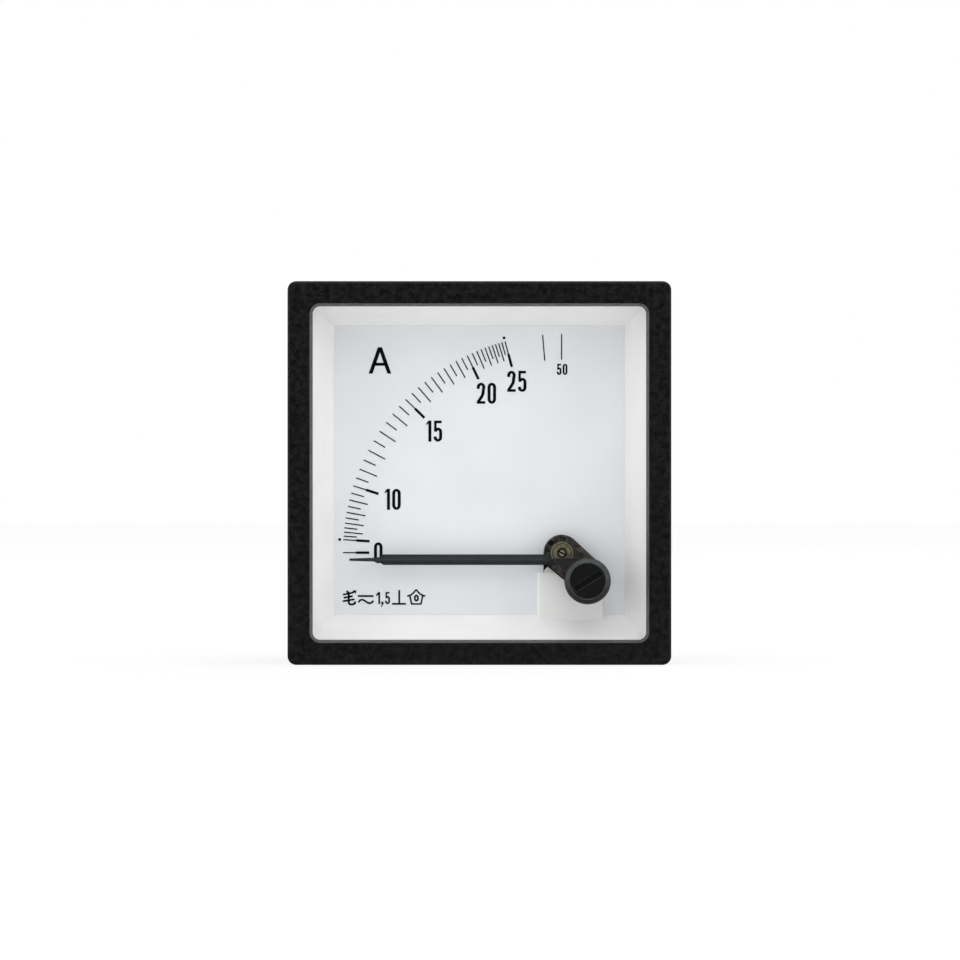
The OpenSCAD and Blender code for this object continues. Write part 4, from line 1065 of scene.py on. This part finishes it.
class METER_OT_terminals(bpy.types.Operator):
    """Cuts threaded brass studs in place of the plain ones, and finishes the nuts and washers."""

    bl_idname = "meter.terminals"
    bl_label = "Terminals"

    def execute(self, context):
        sizes, c = context.scene.meter_sizes, context.scene.meter_colours
        for side in ("left", "right"):
            node = f"terminal_stud_{side}"
            low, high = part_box(node)
            x, z = middle(node)[0], middle(node)[2]
            flats = float(high[2] - low[2])
            brass = turned_metal(f"stud_brass_{side}", c.brass, 0.26, 0.42, (x, 0.0, z))
            top = low[1] + STUD_HEAD
            head = hexagon_head(flats, low[1], top, STUD_BEVEL, x, z)
            shank = thread(STUD_R, sizes.thread_pitch, sizes.thread_depth, top - 0.1 * MM,
                           high[1], STUD_CHAMFER, x, z)
            stud = piece(f"threaded_stud_{side}", [shell(head), shell(shank)], brass,
                         smooth=35)
            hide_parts(node)
        dress("terminal_nuts", rolled_metal("nut_brass", c.brass, 0.24, 0.4, "y"))
        dress("terminal_washers", rolled_metal("washer_zinc", c.zinc, 0.3, 0.46, "x"))
        return {"FINISHED"}


def softbox(name, place, target, width, power):
    """A square lamp at place that faces target."""
    lamp = bpy.data.lights.new(name, "AREA")
    lamp.shape = "SQUARE"
    lamp.size = width
    lamp.energy = power
    obj = bpy.data.objects.new(name, lamp)
    aim = np.asarray(target, float) - np.asarray(place, float)
    aim /= np.linalg.norm(aim)
    obj.location = place
    obj.rotation_euler = (math.acos(-aim[2]), 0.0, math.atan2(-aim[0], aim[1]))
    bpy.context.scene.collection.objects.link(obj)


def pale_floor(rgb, front):
    """A wide floor. The camera sees it lit under a steady white, so that a soft shadow stays;
    glass and metal see white behind the meter that falls to front before it."""
    mesh = bpy.data.meshes.new("floor")
    corners = np.array([(-1, -1, 0), (1, -1, 0), (1, 1, 0), (-1, 1, 0)]) * FLOOR_REACH
    mesh.from_pydata((corners + [0, 0, FLOOR_Z]).tolist(), [], [[0, 1, 2, 3]])
    f = Finish("floor_paper", rgb, 0.9, specular=0.1)
    f.tint(f.grain(40 * MM), toned(rgb, 0.985), toned(rgb, 1.01))
    path = f.node("ShaderNodeLightPath")
    camera = path.outputs["Is Camera Ray"]
    shiny = f.together(path.outputs["Is Glossy Ray"], path.outputs["Is Transmission Ray"], "MAXIMUM")
    ahead = f.ranged(f.along("Y"), front, 1.0, *GLOW_RISE)
    glow = f.node("ShaderNodeEmission")
    f.join(f.between(camera, ahead, 1.0), glow.inputs["Strength"])
    mix = f.node("ShaderNodeMixShader")
    f.join(f.between(camera, shiny, FLOOR_WHITE), mix.inputs["Fac"])
    f.join(f.bsdf.outputs[0], mix.inputs[1])
    f.join(glow.outputs[0], mix.inputs[2])
    f.join(mix.outputs[0], f.out.inputs["Surface"])
    f.mat.cycles.emission_sampling = "NONE"
    mesh.materials.append(f.mat)
    floor = bpy.data.objects.new("floor", mesh)
    bpy.context.scene.collection.objects.link(floor)


def sky(side, ahead, front):
    """The world: white for the camera. Matt surfaces get side from all round, which falls to
    ahead on the camera's side; glass and metal see white behind the meter, which falls to
    front."""
    world = bpy.data.worlds.new("studio")
    world.use_nodes = True
    world.cycles.sampling_method = "NONE"
    tree = world.node_tree
    tree.nodes.clear()
    make, join = tree.nodes.new, tree.links.new
    out, light = make("ShaderNodeOutputWorld"), make("ShaderNodeBackground")
    path = make("ShaderNodeLightPath")
    way, parts = make("ShaderNodeTexCoord"), make("ShaderNodeSeparateXYZ")
    join(way.outputs["Generated"], parts.inputs[0])

    matt = spread(tree, parts.outputs["Y"], -1.0, 0.0, ahead, side)
    mirrored = spread(tree, parts.outputs["Y"], -0.9, -0.1, front, 1.0)
    mirror = make("ShaderNodeMath")
    mirror.operation = "MAXIMUM"
    join(path.outputs["Is Glossy Ray"], mirror.inputs[0])
    join(path.outputs["Is Transmission Ray"], mirror.inputs[1])
    shiny, seen = make("ShaderNodeMix"), make("ShaderNodeMix")
    join(mirror.outputs[0], shiny.inputs["Factor"])
    join(matt, shiny.inputs["A"])
    join(mirrored, shiny.inputs["B"])
    seen.inputs["B"].default_value = 1.0
    join(path.outputs["Is Camera Ray"], seen.inputs["Factor"])
    join(shiny.outputs["Result"], seen.inputs["A"])
    light.inputs["Color"].default_value = (1.0, 1.0, 1.0, 1.0)
    join(seen.outputs["Result"], light.inputs["Strength"])
    join(light.outputs[0], out.inputs["Surface"])
    bpy.context.scene.world = world


class METER_OT_stage(bpy.types.Operator):
    """Sets up the pale floor, the soft studio light and the camera in front of the dial."""

    bl_idname = "meter.stage"
    bl_label = "Floor, light and camera"

    def execute(self, context):
        scene = context.scene
        scene.view_settings.view_transform = "Standard"
        pale_floor(scene.meter_colours.floor, front=0.1)
        sky(side=1.12, ahead=0.78, front=0.08)
        for lamp in LAMPS:
            softbox(*lamp)
        lens = bpy.data.cameras.new("camera")
        lens.lens = LENS
        lens.sensor_width = SENSOR
        lens.clip_start = 0.01
        camera = bpy.data.objects.new("camera", lens)
        camera.location = CAMERA_PLACE
        camera.rotation_euler = (math.pi / 2, 0.0, 0.0)
        scene.collection.objects.link(camera)
        scene.camera = camera
        return {"FINISHED"}


STEPS = (
    METER_OT_mouldings, METER_OT_window, METER_OT_dial, METER_OT_lettering, METER_OT_symbols,
    METER_OT_movement, METER_OT_coil, METER_OT_moving_system, METER_OT_zero_adjuster,
    METER_OT_terminals, METER_OT_stage,
)


class METER_PT_dressing(bpy.types.Panel):
    """Lists the meter's colours, sizes and steps."""

    bl_idname = "METER_PT_dressing"
    bl_label = "Panel Meter"
    bl_space_type = "VIEW_3D"
    bl_region_type = "UI"
    bl_category = "Panel Meter"

    def draw(self, context):
        for step in STEPS:
            self.layout.operator(step.bl_idname)
        for group in (context.scene.meter_sizes, context.scene.meter_colours):
            box = self.layout.box()
            for key in group.__annotations__:
                box.prop(group, key)


CLASSES = (MeterSizes, MeterColours, *STEPS, METER_PT_dressing)


def register():
    for c in CLASSES:
        bpy.utils.register_class(c)
    bpy.types.Scene.meter_sizes = bpy.props.PointerProperty(type=MeterSizes)
    bpy.types.Scene.meter_colours = bpy.props.PointerProperty(type=MeterColours)


def unregister():
    del bpy.types.Scene.meter_colours
    del bpy.types.Scene.meter_sizes
    for c in reversed(CLASSES):
        bpy.utils.unregister_class(c)


def main():
    """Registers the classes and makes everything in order."""
    register()
    for step in STEPS:
        group, name = step.bl_idname.split(".")
        getattr(getattr(bpy.ops, group), name)()


if __name__ == "__main__":
    main()
